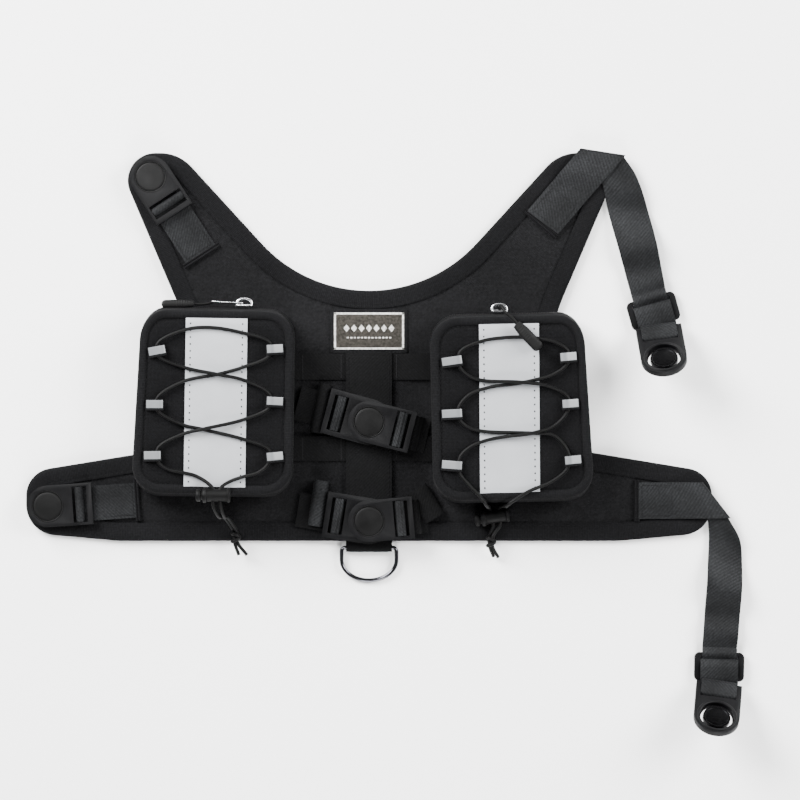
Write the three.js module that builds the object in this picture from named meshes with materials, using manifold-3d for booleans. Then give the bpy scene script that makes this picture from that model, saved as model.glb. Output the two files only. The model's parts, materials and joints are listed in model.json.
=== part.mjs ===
// Dog harness vest, laid open and flat, with two zipped saddle pouches.
// Millimetres. X runs across the vest, Y from the hem towards the neck, Z up.
// The origin is on the underside of the main panel, on the spine line.

import * as THREE from 'three';
import { mergeVertices } from 'three/addons/utils/BufferGeometryUtils.js';
import Module from 'manifold-3d';

const wasm = await Module();
wasm.setup();

// ---------------------------------------------------------------- driving dimensions

const GAP = 0.3; // between pieces that touch
const ARC_STEP = 12; // degrees, on round corners
const CORNER_SHARE = 0.98; // most of a side that its two rounded corners take
const ROUND_SIDES = 24;

// main panel
const PANEL_THICK = 4;
const NECK_DIP = 108.3; // neckline at the spine
const NECK_RADIUS = 105;
const NECK_SLOPE = 47.5; // degrees
const ARM_TOP = 207.5;
const ARM_TIP = 47; // width of an arm across its tip
const WAIST = 134; // half width between the leg openings
const WING_REACH = 247;
const WING_TOP = -22.5;
const WING_BOTTOM = -66;
const HEM = -72;
const BINDING_WIDTH = 13;
const BINDING_THICK = 0.9;
const BINDING_WALL = 1.2;

// webbing
const WEB_WIDTH = 25;
const WEB_THICK = 1.4;
const TURN_INSET = 0.1; // a flat turn's rounded edge inside the webbing's faces
const SPINE_WIDTH = 33;
const SPINE_TOP = 63.4;
const ROWS = [
  { name: 'attachment_webbing_upper', bottom: 44, height: 19 },
  { name: 'attachment_webbing_lower', bottom: -14.5, height: 18 },
];
const ROW_REACH = 96; // half length of a row
const LABEL = { width: 53, height: 30.5, thick: 1.2, bottom: 63.9 };

// leash ring
const RING_WIRE = 3;
const RING_ROOM = 4.75; // outside of the ring past the webbing, each side
const RING_DEPTH = 25.2; // bar to far side, outside
const RING_CORNER = 2.6;
const RING_SIDE = 9; // straight side below the bar
const RING_BAR_OUT = 4.8; // bar's centre past the hem

// magnetic buckle, each half measured from its disc's centre
const SLOT_ROOM = 0.5; // webbing to slot end
const SLOT_LENGTH = 10.3; // along the webbing
const SLOT_BEHIND = 5.5; // socket to slot
const BAR_INTO = 5; // bar's centre from the slot's start
const SIDE_RAIL = 2;
const SEAT_RAIL = 3.5; // the seat half is a little wider than the cap half
const SOCKET_RIM = 2.5;
const END_RAIL = 3.7;
const BAR_RADIUS = 1.5;
const BAR_CLEAR = 0.25;
const SEAT_THICK = 4.2;
const CAP_THICK = 3.8;
const DISC_RADIUS = 11.35;
const SOCKET_ROOM = 1.15; // disc to socket
const SOCKET_FLOOR = 1.2;
const MAGNET_RADIUS = 9;
const MAGNET_THICK = 1.5;
const SLIT_OUT = 1.8; // magnet's rim to the slit's middle
const SLIT_WIDTH = 1.6;
const SLIT_SWEEP = 110; // degrees of each crescent slit
const LEG_GAP = 0.3;

// tri-glide adjuster
const GLIDE = { side: 4.5, room: 1, length: 21, bar: 3, corner: 4, thin: 1.2 };

// pouch
const POUCH_WIDTH = 113.5;
const POUCH_HEIGHT = 135;
const POUCH_CORNER = 20;
const POUCH_WALL = 1.6;
const BACK_DEPTH = 11;
const FRONT_DEPTH = 15.3;
const ZIP_HEIGHT = 1.4;
const ZIP_PROUD = 0.6;
const ZIP_WIDTH = 4;
const HINGE_CUT = 22; // tape stops this far above the pouch's lower edge
const PANEL_STRIP = { width: 44, height: 124, thick: 0.6 };

// lacing
const LACE_RADIUS = 1.25;
const LOOP_WIDTH = 8;
const LOOP_CLEAR = 1.1; // lace to loop
const LOOP_TAPE = 0.8;
const SEAM_TAPE = 4;
const LACE_STEPS = 84;
const LACES_APART = 2.6; // half the spacing in the lock
const KNOT_RADIUS = 4;
const LOCK = { length: 20, radius: 5, wall: 1.2, hole: 4.4, slot: 10.5, travel: 3 };

// ---------------------------------------------------------------- derived sizes and levels

const degrees = (angle) => (angle * Math.PI) / 180;

const NECK_CORNER = NECK_DIP + NECK_RADIUS - NECK_RADIUS / Math.cos(degrees(NECK_SLOPE));
const ARM_INNER = (ARM_TOP - NECK_CORNER) / Math.tan(degrees(NECK_SLOPE));
const ARM_REACH = ARM_INNER + ARM_TIP;
const PANEL_TOP = PANEL_THICK + GAP;
const RIM_TOP = PANEL_TOP + BINDING_THICK + GAP;
const ROW_TOP = PANEL_TOP + WEB_THICK;
const SPINE_BASE = ROW_TOP + GAP;
const SPINE_SURFACE = SPINE_BASE + WEB_THICK + GAP;
const POUCH_BASE = ROW_TOP + GAP;
const ZIP_BASE = BACK_DEPTH + GAP;
const FRONT_BASE = ZIP_BASE + ZIP_HEIGHT + GAP;
const POUCH_FACE = POUCH_BASE + FRONT_BASE + FRONT_DEPTH;
const RING_WIDTH = SPINE_WIDTH + 2 * RING_ROOM;
const SOCKET_RADIUS = DISC_RADIUS + SOCKET_ROOM;
const SLIT_RADIUS = MAGNET_RADIUS + SLIT_OUT;
const SLOT_HALF = WEB_WIDTH / 2 + SLOT_ROOM;
const CAP_RADIUS = Math.max(SLOT_HALF + SIDE_RAIL, SOCKET_RADIUS + SOCKET_RIM);
const SEAT_RADIUS = Math.max(SLOT_HALF + SEAT_RAIL, SOCKET_RADIUS + SOCKET_RIM);
const SLOT_START = SOCKET_RADIUS + SLOT_BEHIND;
const SLOT_END = SLOT_START + SLOT_LENGTH;
const BAR_AT = SLOT_START + BAR_INTO;
const BUCKLE_END = SLOT_END + END_RAIL;
const LEG_CENTRE = LEG_GAP + WEB_THICK / 2;
const LOOP_RADIUS = BAR_RADIUS + BAR_CLEAR + WEB_THICK / 2;
const BAR_HEIGHT = LEG_CENTRE + LOOP_RADIUS;
const FRAME_BASE = LEG_CENTRE + WEB_THICK / 2 + GAP;
const CAP_LIFT = SEAT_THICK + GAP;
const STRAP_LEVEL = GLIDE.thin + 2 * GAP + WEB_THICK / 2;
const LACE_LEVELS = laceLevels();

// ---------------------------------------------------------------- places of what is sewn on

const POUCHES = {
  left: { x: -111, y: 28, turn: -0.8 },
  right: { x: 102, y: 24, turn: 1.2 },
};
// each half of a buckle: its disc's centre, and the direction from there to its webbing
const CAPS = {
  neck: { x: 27 - ARM_REACH, y: ARM_TOP - 17.5, heading: -57, patch: 34 },
  belly: { x: 16 - WING_REACH, y: WING_TOP - 24.5, heading: 4, patch: 31 },
};
const RUNS = {
  neck: {
    patch: [ARM_REACH - 58.7, ARM_TOP - 50.5], length: 28.7, heading: 51.5,
    crease: [ARM_REACH - 17, ARM_TOP - 0.5], creaseTurn: -9,
    hinge: [ARM_REACH, ARM_TOP - 39.5], seat: [ARM_REACH + 24.2, ARM_TOP - 126.5], seatTurn: -8,
  },
  belly: {
    patch: [WING_REACH - 53, WING_TOP - 20.5], length: 28.5, heading: 0,
    crease: [WING_REACH + 4, WING_TOP - 20.5], creaseTurn: -43,
    hinge: [WING_REACH + 7, WING_TOP - 47.5], seat: [WING_REACH + 4.9, WING_TOP - 153.2], seatTurn: -7,
  },
};
const SEAT_TILT = 46; // the seat halves stand up from their stiff webbing
const FOLD_ROOM = 2; // strap's end to the seat's loop, across the hinge line
const SEAT_OFF = 3; // hinge line to frame
const GLIDE_OFF = 2.5; // adjuster to hinge line
const CENTRES = {
  upper: { y: 13.8, seatHeading: 165, capHeading: -14 },
  lower: { y: -57.5, seatHeading: 171, capHeading: 5 },
};

// Lace routes, hand-set. The third value is 0 on the face, 1 through a loop, 2 over a crossing,
// and above that the height itself.
const LACES = {
  left: {
    up: [
      [-99.4, -28.8, 0], [-89.3, -25.2, 0], [-78.5, -22, 0], [-71.5, -15.5, 1], [-71.2, -6.5, 1],
      [-89.3, 1.4, 0], [-118.8, 8.6, 0], [-133.9, 12.2, 0], [-151, 22.3, 1], [-151, 30.8, 1],
      [-133.2, 42.5, 0], [-106.6, 48.2, 0], [-88.6, 53.3, 0], [-71, 61.5, 1], [-71, 70.5, 1],
      [-91.4, 77.8, 0], [-114.5, 81.4, 0], [-131.8, 79.5, 0], [-150.6, 70, 1], [-150.6, 61.5, 1],
      [-133.2, 53.3, 0], [-106.6, 47.5, 2], [-88.6, 43.5, 0], [-71, 33.5, 1], [-71, 24.5, 1],
      [-88.6, 15.8, 0], [-118.8, 8.6, 2], [-133.2, 5, 0], [-150.6, -5, 1], [-150.6, -14.5, 1],
      [-143.3, -20, 0], [-133.2, -22.2, 0], [-122.4, -25.2, 0],
    ],
    lock: [-108.6, -38.5, POUCH_FACE + GAP + LOCK.radius + 0.2], lockTurn: 0,
    knot: [-95.8, -69.1, 9.2], ends: [[-93.6, -82, 2.6], [-87.8, -82, 2.6]],
    hang: [[-50, 31], [-58, 17]],
  },
  right: {
    up: [
      [96.5, -46.4, 22], [98.5, -46.3, 33.5], [101.5, -43.8, 37.6], [113.8, -36, 0],
      [131.8, -28.1, 0], [142.2, -18.7, 1], [142.2, -7.5, 1],
      [131.8, 4.3, 0], [116.6, 5.8, 0], [81.4, 7.2, 0], [71.3, 9.8, 0], [64.6, 16, 1],
      [64.4, 24.5, 1], [72.7, 33.8, 0], [87.8, 38.9, 0], [108, 41.6, 0], [133.2, 48.5, 0],
      [142.2, 56, 1], [142.2, 64.3, 1], [131.8, 71.3, 0], [113.8, 74.2, 0], [98.6, 74.2, 0],
      [79.9, 71.3, 0], [65, 63.5, 1], [65, 53, 1], [71.3, 46.8, 0], [80.6, 43.6, 0],
      [108, 42.2, 2], [128, 39.5, 0], [142.2, 31.5, 1], [142.2, 22, 1], [133.2, 11.5, 0],
      [118.8, 6.3, 2], [87.8, 1.6, 0], [72.7, -3.9, 0], [64.8, -12, 1], [64.8, -22.5, 1],
      [71.3, -31, 0], [79.5, -39.5, 0], [83, -44.2, 37.6], [84.8, -46.8, 33.5], [86, -47, 22],
    ],
    lock: [90.7, -54.5, 10.8], lockTurn: 10,
    knot: [87.8, -72.2, 9.8], ends: [[89.6, -83, 2.6], [92.9, -83.6, 2.6]],
    hang: [[-63.5, 10.4]],
  },
};
// middles of the lace loops: inner is the column nearer the spine
const LOOPS = {
  left: { outer: { x: -150.4, ys: [65.7, 26.6, -9.8] }, inner: { x: -71, ys: [66, 29, -11] } },
  right: { outer: { x: 141.9, ys: [60.2, 26.8, -13.6] }, inner: { x: 64.8, ys: [58.3, 20.2, -17.2] } },
};
const SLIDERS = {
  left: { x: -89.5, pullEnd: -149, overFront: false },
  right: { x: 93.5, pullEnd: 121, overFront: true },
};

// ---------------------------------------------------------------- solids and meshes

/** A closed geometry as a solid, for cutting and joining. */
function solidOf(geometry) {
  const bare = geometry.clone();
  bare.deleteAttribute('normal');
  bare.deleteAttribute('uv');
  const merged = mergeVertices(bare, 1e-4);
  return new wasm.Manifold(new wasm.Mesh({
    numProp: 3,
    vertProperties: new Float32Array(merged.attributes.position.array),
    triVerts: new Uint32Array(merged.index.array),
  }));
}

/** A solid back as a geometry. */
function geometryOf(solid) {
  const mesh = solid.getMesh();
  const geometry = new THREE.BufferGeometry();
  geometry.setAttribute('position', new THREE.BufferAttribute(mesh.vertProperties, 3));
  geometry.setIndex(new THREE.BufferAttribute(mesh.triVerts, 1));
  geometry.computeVertexNormals();
  return geometry;
}

const joined = (parts) => geometryOf(parts.map(solidOf).reduce((all, part) => all.add(part)));

function cut(body, tools) {
  return geometryOf(tools.map(solidOf).reduce((rest, tool) => rest.subtract(tool), solidOf(body)));
}

/** The share of each corner's radius that leaves both its sides some straight length. */
function cornerShares(points, radii, turns) {
  const count = points.length;
  const reaches = turns.map((turn, i) => radii[i] * Math.abs(Math.tan(turn / 2)));
  const sides = points.map((p, i) => {
    const next = (i + 1) % count;
    return Math.min(1, (CORNER_SHARE * p.distanceTo(points[next])) / (reaches[i] + reaches[next] || 1));
  });
  return sides.map((share, i) => Math.min(share, sides[(i + count - 1) % count]));
}

/**
 * Points of a polygon whose corners [x, y, radius] are rounded, all of it moved inwards by
 * inset. Corners run anticlockwise. A convex corner's radius shrinks with the inset, and a
 * hollow one's grows, so every outline stays parallel to the first. A radius is limited by the
 * sides it rounds.
 */
function roundedOutline(corners, inset = 0) {
  const count = corners.length;
  const points = corners.map(([x, y]) => new THREE.Vector2(x, y));
  const along = points.map((p, i) => points[(i + 1) % count].clone().sub(p).normalize());
  const turns = along.map((d, i) => {
    const before = along[(i + count - 1) % count];
    return Math.atan2(before.cross(d), before.dot(d));
  });
  const shares = cornerShares(points, corners.map((corner) => corner[2]), turns);
  const outline = [];
  for (let i = 0; i < count; i += 1) {
    const before = along[(i + count - 1) % count];
    const inward = new THREE.Vector2(-before.y, before.x);
    const half = Math.tan(turns[i] / 2);
    const corner = points[i].clone().addScaledVector(inward, inset).addScaledVector(before, -inset * half);
    const radius = Math.max(0, corners[i][2] * shares[i] - inset * Math.sign(turns[i]));
    const start = corner.clone().addScaledVector(before, -radius * Math.abs(half));
    const side = Math.sign(turns[i]);
    const centre = start.clone().addScaledVector(inward, side * radius);
    const steps = radius > 0 ? Math.max(1, Math.ceil(Math.abs(turns[i]) / degrees(ARC_STEP))) : 0;
    for (let n = 0; n <= steps; n += 1) {
      const share = steps ? n / steps : 0;
      outline.push(start.clone().rotateAround(centre, turns[i] * share));
    }
  }
  return outline;
}

/** A flat plate with the outline, from one height to another. */
function plate(outline, bottom, top) {
  const shape = new THREE.Shape(outline);
  const geometry = new THREE.ExtrudeGeometry(shape, { depth: top - bottom, bevelEnabled: false });
  return geometry.translate(0, 0, bottom);
}

function rectangle(x0, y0, x1, y1, radius = 0) {
  return [[x0, y0, radius], [x1, y0, radius], [x1, y1, radius], [x0, y1, radius]];
}

function block(x0, y0, z0, x1, y1, z1) {
  const box = new THREE.BoxGeometry(x1 - x0, y1 - y0, z1 - z0);
  return box.translate((x0 + x1) / 2, (y0 + y1) / 2, (z0 + z1) / 2);
}

/** A round disc along Z. */
function disc(radius, bottom, top, x = 0, y = 0, sides = ROUND_SIDES) {
  const cylinder = new THREE.CylinderGeometry(radius, radius, top - bottom, sides).rotateX(Math.PI / 2);
  return cylinder.translate(x, y, (bottom + top) / 2);
}

/** A band of webbing whose side view follows path, points [along X, up Z]; its width lies along Y. */
function ribbon(path, thick, width) {
  const points = path.map(([x, z]) => new THREE.Vector2(x, z));
  const last = points.length - 1;
  const sides = [[], []];
  points.forEach((point, i) => {
    const back = point.clone().sub(points[Math.max(0, i - 1)]);
    const ahead = points[Math.min(last, i + 1)].clone().sub(point);
    const first = i === 0 ? ahead : back;
    const second = i === last ? back : ahead;
    const normals = [first, second].map((d) => new THREE.Vector2(-d.y, d.x).normalize());
    const normal = normals[0].clone().add(normals[1]).normalize();
    const reach = thick / 2 / normal.dot(normals[0]);
    sides[0].push(point.clone().addScaledVector(normal, -reach));
    sides[1].push(point.clone().addScaledVector(normal, reach));
  });
  const shape = new THREE.Shape([...sides[0], ...sides[1].reverse()]);
  const band = new THREE.ExtrudeGeometry(shape, { depth: width, bevelEnabled: false });
  return band.translate(0, 0, -width / 2).rotateX(Math.PI / 2);
}

/** Points on an arc in the side view, from one angle to another in degrees. */
function arcPoints(x, z, radius, from, to, steps) {
  return Array.from({ length: steps + 1 }, (_, n) => {
    const angle = degrees(from + ((to - from) * n) / steps);
    return [x + radius * Math.cos(angle), z + radius * Math.sin(angle)];
  });
}

/** A round tube along a smooth curve through the points. */
function tube(points, radius, steps, sides = 8) {
  const stops = points.map((p) => new THREE.Vector3(...p));
  const extrudePath = new THREE.CatmullRomCurve3(stops, false, 'centripetal');
  const section = Array.from({ length: sides }, (_, n) => {
    const angle = (2 * Math.PI * n) / sides;
    return new THREE.Vector2(radius * Math.cos(angle), radius * Math.sin(angle));
  });
  return new THREE.ExtrudeGeometry(new THREE.Shape(section), { steps, bevelEnabled: false, extrudePath });
}

const FINISHES = {
  fabric: { color: 0x1c1d1f, roughness: 0.9, metalness: 0 },
  webbing: { color: 0x232427, roughness: 0.8, metalness: 0 },
  plastic: { color: 0x26272a, roughness: 0.45, metalness: 0 },
  reflective: { color: 0xd2d4d6, roughness: 0.4, metalness: 0 },
  metal: { color: 0x55575b, roughness: 0.25, metalness: 1 },
  label: { color: 0x5c5a56, roughness: 0.9, metalness: 0 },
  rubber: { color: 0x17181a, roughness: 0.7, metalness: 0 },
};

function piece(name, geometry, finish) {
  const mesh = new THREE.Mesh(geometry, new THREE.MeshStandardMaterial(FINISHES[finish]));
  mesh.name = name;
  return mesh;
}

/** A group at a place, turned about Z by an angle in degrees. */
function placed(x, y, z, turn, ...children) {
  const group = new THREE.Group();
  group.position.set(x, y, z);
  group.rotation.z = degrees(turn);
  group.add(...children);
  return group;
}

// ---------------------------------------------------------------- panel, binding and webbing

/** Corners of the whole panel, anticlockwise from the right end of the hem. */
function panelCorners() {
  const right = [
    [WING_REACH - 67, HEM, 60],
    [WING_REACH, WING_BOTTOM, 22],
    [WING_REACH, WING_TOP, 20],
    [WAIST - 6, -3, 32],
    [WAIST, 90, 80],
    [ARM_REACH, ARM_TOP, 20],
    [ARM_INNER, ARM_TOP, 30],
  ];
  const left = right.map(([x, y, radius]) => [-x, y, radius]).reverse();
  return [...right, [0, NECK_CORNER, NECK_RADIUS], ...left];
}

function panelPieces() {
  const corners = panelCorners();
  const shell = plate(roundedOutline(corners, BINDING_WALL + GAP), 0, PANEL_THICK);
  const binding = cut(
    plate(roundedOutline(corners), GAP, PANEL_TOP + BINDING_THICK),
    [
      plate(roundedOutline(corners, BINDING_WALL), -1, PANEL_TOP),
      plate(roundedOutline(corners, BINDING_WIDTH), -1, PANEL_TOP + BINDING_THICK + 1),
    ],
  );
  return [piece('vest_shell', shell, 'fabric'), piece('edge_binding', binding, 'webbing')];
}

function ringBar() {
  return { y: HEM - RING_BAR_OUT, z: SPINE_BASE + WEB_THICK / 2 - LOOP_RADIUS };
}

/** The spine webbing runs down the vest, over the hem and round the leash ring's bar. */
function spineWebbing() {
  const bar = ringBar();
  const level = SPINE_BASE + WEB_THICK / 2;
  const turned = arcPoints(-bar.y, bar.z, LOOP_RADIUS, 90, -200, 12);
  const band = ribbon([[-SPINE_TOP, level], ...turned], WEB_THICK, SPINE_WIDTH);
  return piece('spine_webbing', band.rotateZ(-Math.PI / 2), 'webbing');
}

/** The leash ring: a straight bar and a round bow, tilted so that its far side lies low. */
function leashRing() {
  const bar = ringBar();
  const wire = RING_WIRE / 2;
  const half = RING_WIDTH / 2 - wire;
  const far = RING_DEPTH - wire;
  const corner = RING_CORNER * 0.3;
  const bow = [[-half + RING_CORNER, 0, 0], [-half + corner, -corner, 0], [-half, -RING_CORNER, 0]];
  for (let angle = 180; angle <= 360; angle += 20) {
    const depth = RING_SIDE - (far - RING_SIDE) * Math.sin(degrees(angle));
    bow.push([half * Math.cos(degrees(angle)), -depth, 0]);
  }
  bow.push([half, -RING_CORNER, 0], [half - corner, -corner, 0], [half - RING_CORNER, 0, 0]);
  const straight = [[-half + RING_CORNER - 1, 0, 0], [half - RING_CORNER + 1, 0, 0]];
  const ring = joined([tube(straight, wire, 1, 10), tube(bow, wire * 0.999, 30, 10)]);
  const group = placed(0, bar.y, bar.z, 0, piece('leash_ring', ring, 'metal'));
  group.rotation.x = Math.asin((bar.z - wire - GAP) / far);
  return group;
}

function attachmentRows() {
  return ROWS.map(({ name, bottom, height }) => piece(
    name, block(-ROW_REACH, bottom, PANEL_TOP, ROW_REACH, bottom + height, ROW_TOP), 'webbing',
  ));
}

function wovenLabel() {
  const { width, height, thick, bottom } = LABEL;
  const outline = roundedOutline(rectangle(-width / 2, bottom, width / 2, bottom + height, 1));
  return piece('woven_label', plate(outline, PANEL_TOP, PANEL_TOP + thick), 'label');
}

// ---------------------------------------------------------------- magnetic buckles

/** A half's frame, disc centre at the origin and slot towards +X, from base upwards. */
function buckleFrame(radius, thick, cuts) {
  const outline = [new THREE.Vector2(BUCKLE_END, -radius), new THREE.Vector2(BUCKLE_END, radius)];
  for (let angle = 90; angle <= 270; angle += ARC_STEP) {
    outline.push(new THREE.Vector2(radius * Math.cos(degrees(angle)), radius * Math.sin(degrees(angle))));
  }
  const body = plate(outline, FRAME_BASE, FRAME_BASE + thick);
  const slot = block(SLOT_START, -SLOT_HALF, 0, SLOT_END, SLOT_HALF, FRAME_BASE + thick + 1);
  const bar = new THREE.CylinderGeometry(BAR_RADIUS, BAR_RADIUS, 2 * SLOT_HALF + 2, 12);
  bar.translate(BAR_AT, 0, BAR_HEIGHT);
  return joined([cut(body, [slot, ...cuts]), bar]);
}

/** A crescent slit through the seat's floor, centred on an angle in degrees. */
function crescent(middle) {
  const inner = SLIT_RADIUS - SLIT_WIDTH / 2;
  const outer = SLIT_RADIUS + SLIT_WIDTH / 2;
  const ends = [middle - SLIT_SWEEP / 2, middle + SLIT_SWEEP / 2];
  const outside = arcPoints(0, 0, outer, ends[0], ends[1], 8);
  const inside = arcPoints(0, 0, inner, ends[1], ends[0], 8);
  const outline = [...outside, ...inside].map(([x, y]) => new THREE.Vector2(x, y));
  return plate(outline, 0, FRAME_BASE + SEAT_THICK);
}

function seatPieces(frameName, magnetName) {
  const floor = FRAME_BASE + SOCKET_FLOOR;
  const socket = disc(SOCKET_RADIUS, floor, FRAME_BASE + SEAT_THICK + 1);
  const frame = buckleFrame(SEAT_RADIUS, SEAT_THICK, [socket, crescent(90), crescent(-90)]);
  const pieces = [piece(frameName, frame, 'plastic')];
  if (magnetName) {
    pieces.push(piece(magnetName, disc(MAGNET_RADIUS, floor + GAP, floor + GAP + MAGNET_THICK), 'metal'));
  }
  return pieces;
}

function capPieces(frameName, discName) {
  const hole = disc(DISC_RADIUS + GAP, 0, FRAME_BASE + CAP_THICK + 1);
  const low = FRAME_BASE + SOCKET_FLOOR + MAGNET_THICK + 2 * GAP - CAP_LIFT;
  const high = FRAME_BASE + CAP_THICK;
  const profile = [
    [0, low], [DISC_RADIUS, low], [DISC_RADIUS, high], [DISC_RADIUS - 0.8, high + 0.6], [0, high + 0.9],
  ].map(([radius, z]) => new THREE.Vector2(radius, z));
  const cap = new THREE.LatheGeometry(profile, ROUND_SIDES).rotateX(Math.PI / 2);
  return [
    piece(frameName, buckleFrame(CAP_RADIUS, CAP_THICK, [hole]), 'plastic'),
    piece(discName, cap, 'plastic'),
  ];
}

/** Webbing that comes in under the end rail and turns round the bar, from a reach on +X. */
function barLoop(reach, drop = 0) {
  const leg = drop
    ? [[reach, LEG_CENTRE - drop], [reach - 3, LEG_CENTRE - drop], [BUCKLE_END + 1, LEG_CENTRE]]
    : [[reach, LEG_CENTRE]];
  const turned = arcPoints(BAR_AT, BAR_HEIGHT, LOOP_RADIUS, -90, -340, 11);
  return ribbon([...leg, ...turned], WEB_THICK, WEB_WIDTH);
}

/** Left ends: a sewn patch, and past its edge the loop, frame and disc that lift together. */
function capEnd(side) {
  const { x, y, heading, patch } = CAPS[side];
  const start = BUCKLE_END + 2 * GAP;
  const sewn = block(start, -WEB_WIDTH / 2, RIM_TOP, start + patch, WEB_WIDTH / 2, RIM_TOP + WEB_THICK);
  return [
    placed(x, y, 0, heading, piece(`${side}_anchor_patch`, sewn, 'webbing')),
    placed(
      x, y, RIM_TOP, heading,
      piece(`${side}_cap_loop`, barLoop(BUCKLE_END + GAP), 'webbing'),
      ...capPieces(`${side}_cap_frame`, `${side}_cap_disc`),
    ),
  ];
}

/** How far a centre strap runs from its disc before the pouch's inner side stops it. */
function strapReach(side, heading) {
  const { x, turn } = POUCHES[side];
  const edge = Math.abs(x) - POUCH_WIDTH / 2 - (POUCH_HEIGHT / 2) * Math.abs(Math.sin(degrees(turn))) - 1;
  const lean = Math.abs(degrees(heading > 90 ? 180 - heading : heading));
  return (edge - (WEB_WIDTH / 2) * Math.sin(lean)) / Math.cos(lean);
}

/** A buckle closed across the spine: seat half below, cap half above, each on its strap. */
function centreBuckle(level) {
  const { y, seatHeading, capHeading } = CENTRES[level];
  const down = SPINE_SURFACE - POUCH_BASE;
  const seatReach = strapReach('left', seatHeading);
  const capReach = strapReach('right', capHeading);
  return [
    placed(
      0, y, SPINE_SURFACE, seatHeading,
      piece(`${level}_seat_strap`, barLoop(seatReach, down), 'webbing'),
      ...seatPieces(`${level}_seat_frame`),
    ),
    placed(
      0, y, SPINE_SURFACE + CAP_LIFT, capHeading,
      piece(`${level}_cap_strap`, barLoop(capReach, down + CAP_LIFT), 'webbing'),
      ...capPieces(`${level}_cap_frame`, `${level}_cap_disc`),
    ),
  ];
}

// ---------------------------------------------------------------- adjustable straps

/** Heading in degrees from one [x, y] to another, and the distance. */
function leg(from, to) {
  const [dx, dy] = [to[0] - from[0], to[1] - from[1]];
  return { heading: (Math.atan2(dy, dx) * 180) / Math.PI, length: Math.hypot(dx, dy) };
}

/** The geometry turned and moved to a place, for joining pieces of one solid. */
function at(geometry, x, y, heading) {
  return geometry.rotateZ(degrees(heading)).translate(x, y, 0);
}

/** Sewn box, the run over the rim, the flat turn under itself, and the start of the way down. */
function sewnRun(side) {
  const { patch, length, heading, crease, creaseTurn, hinge, seat } = RUNS[side];
  const low = RIM_TOP + WEB_THICK / 2;
  const high = low + WEB_THICK + GAP;
  const out = leg(patch, crease);
  const climb = [[0, low], [length, low], [length + 6, high], [out.length + 30, high]];
  const over = ribbon(climb, WEB_THICK, WEB_WIDTH);
  const away = leg(crease, hinge);
  const under = ribbon([
    [-30, low], [away.length - 6.5, low], [away.length - 2, STRAP_LEVEL], [away.length + 10, STRAP_LEVEL],
  ], WEB_THICK, WEB_WIDTH);
  const beyond = at(block(-80, 0, -5, 80, 90, 30), crease[0], crease[1], creaseTurn);
  const next = at(block(-GAP, -40, -5, 60, 40, 30), hinge[0], hinge[1], leg(hinge, seat).heading);
  const upper = cut(at(over, patch[0], patch[1], heading), [beyond]);
  const lower = cut(at(under, crease[0], crease[1], away.heading), [beyond, next]);
  const half = WEB_WIDTH / 2 - 1;
  const base = low - WEB_THICK / 2 + TURN_INSET;
  const roof = high + WEB_THICK / 2 - TURN_INSET;
  const turn = at(block(-half, -WEB_THICK, base, half, -TURN_INSET, roof), crease[0], crease[1], creaseTurn);
  return piece(`${side}_strap_sewn_run`, joined([upper, lower, turn]), 'webbing');
}

/** Adjuster: the strap runs straight through, over the middle bar and under the end bars. */
function triGlide(side) {
  const { side: rail, room, length, bar, corner, thin } = GLIDE;
  const top = STRAP_LEVEL + WEB_THICK / 2 + GAP + thin + 0.3;
  const opening = WEB_WIDTH / 2 + room;
  const half = opening + rail;
  const roof = STRAP_LEVEL + WEB_THICK / 2 + GAP;
  const floor = STRAP_LEVEL - WEB_THICK / 2 - GAP;
  const body = plate(roundedOutline(rectangle(-length / 2, -half, length / 2, half, corner)), GAP, top);
  const hollow = block(-length / 2 + bar, -opening, 0, length / 2 - bar, opening, top + 1);
  const tunnel = block(-length, -opening, 0, length, opening, roof);
  const middle = block(-bar / 2, -opening - 1, GAP, bar / 2, opening + 1, floor);
  return piece(`${side}_tri_glide`, joined([cut(body, [hollow, tunnel]), middle]), 'plastic');
}

/** The run that hangs free: webbing, adjuster, and the seat half standing up at its end. */
function hangingRun(side) {
  const { hinge, seat, seatTurn } = RUNS[side];
  const { heading, length } = leg(hinge, seat);
  const strap = ribbon([[GAP, STRAP_LEVEL], [length - FOLD_ROOM / 2, STRAP_LEVEL]], WEB_THICK, WEB_WIDTH);
  const glide = new THREE.Group();
  glide.position.x = length - GLIDE.length / 2 - GLIDE_OFF;
  glide.add(triGlide(side));
  const half = new THREE.Group();
  half.position.set(length, 0, STRAP_LEVEL);
  half.rotation.set(0, degrees(-SEAT_TILT), degrees(seatTurn), 'ZYX');
  const buckle = placed(
    BUCKLE_END + SEAT_OFF, 0, -LEG_CENTRE, 180,
    piece(`${side}_seat_loop`, barLoop(BUCKLE_END + SEAT_OFF - FOLD_ROOM), 'webbing'),
    ...seatPieces(`${side}_seat_frame`, `${side}_seat_magnet`),
  );
  half.add(buckle);
  const run = piece(`${side}_strap_hanging_run`, strap, 'webbing');
  return placed(hinge[0], hinge[1], 0, heading, run, glide, half);
}

// ---------------------------------------------------------------- pouches

const pouchCorners = rectangle(
  -POUCH_WIDTH / 2, -POUCH_HEIGHT / 2, POUCH_WIDTH / 2, POUCH_HEIGHT / 2, POUCH_CORNER,
);

/** A shell open on one side: its closed face at closed, its rim at rim. */
function pouchShell(closed, rim) {
  const up = rim > closed;
  const wall = up ? POUCH_WALL : -POUCH_WALL;
  const outside = plate(roundedOutline(pouchCorners), Math.min(closed, rim), Math.max(closed, rim));
  const [low, high] = up ? [closed + wall, rim + 1] : [rim - 1, closed + wall];
  return cut(outside, [plate(roundedOutline(pouchCorners, POUCH_WALL), low, high)]);
}

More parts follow.
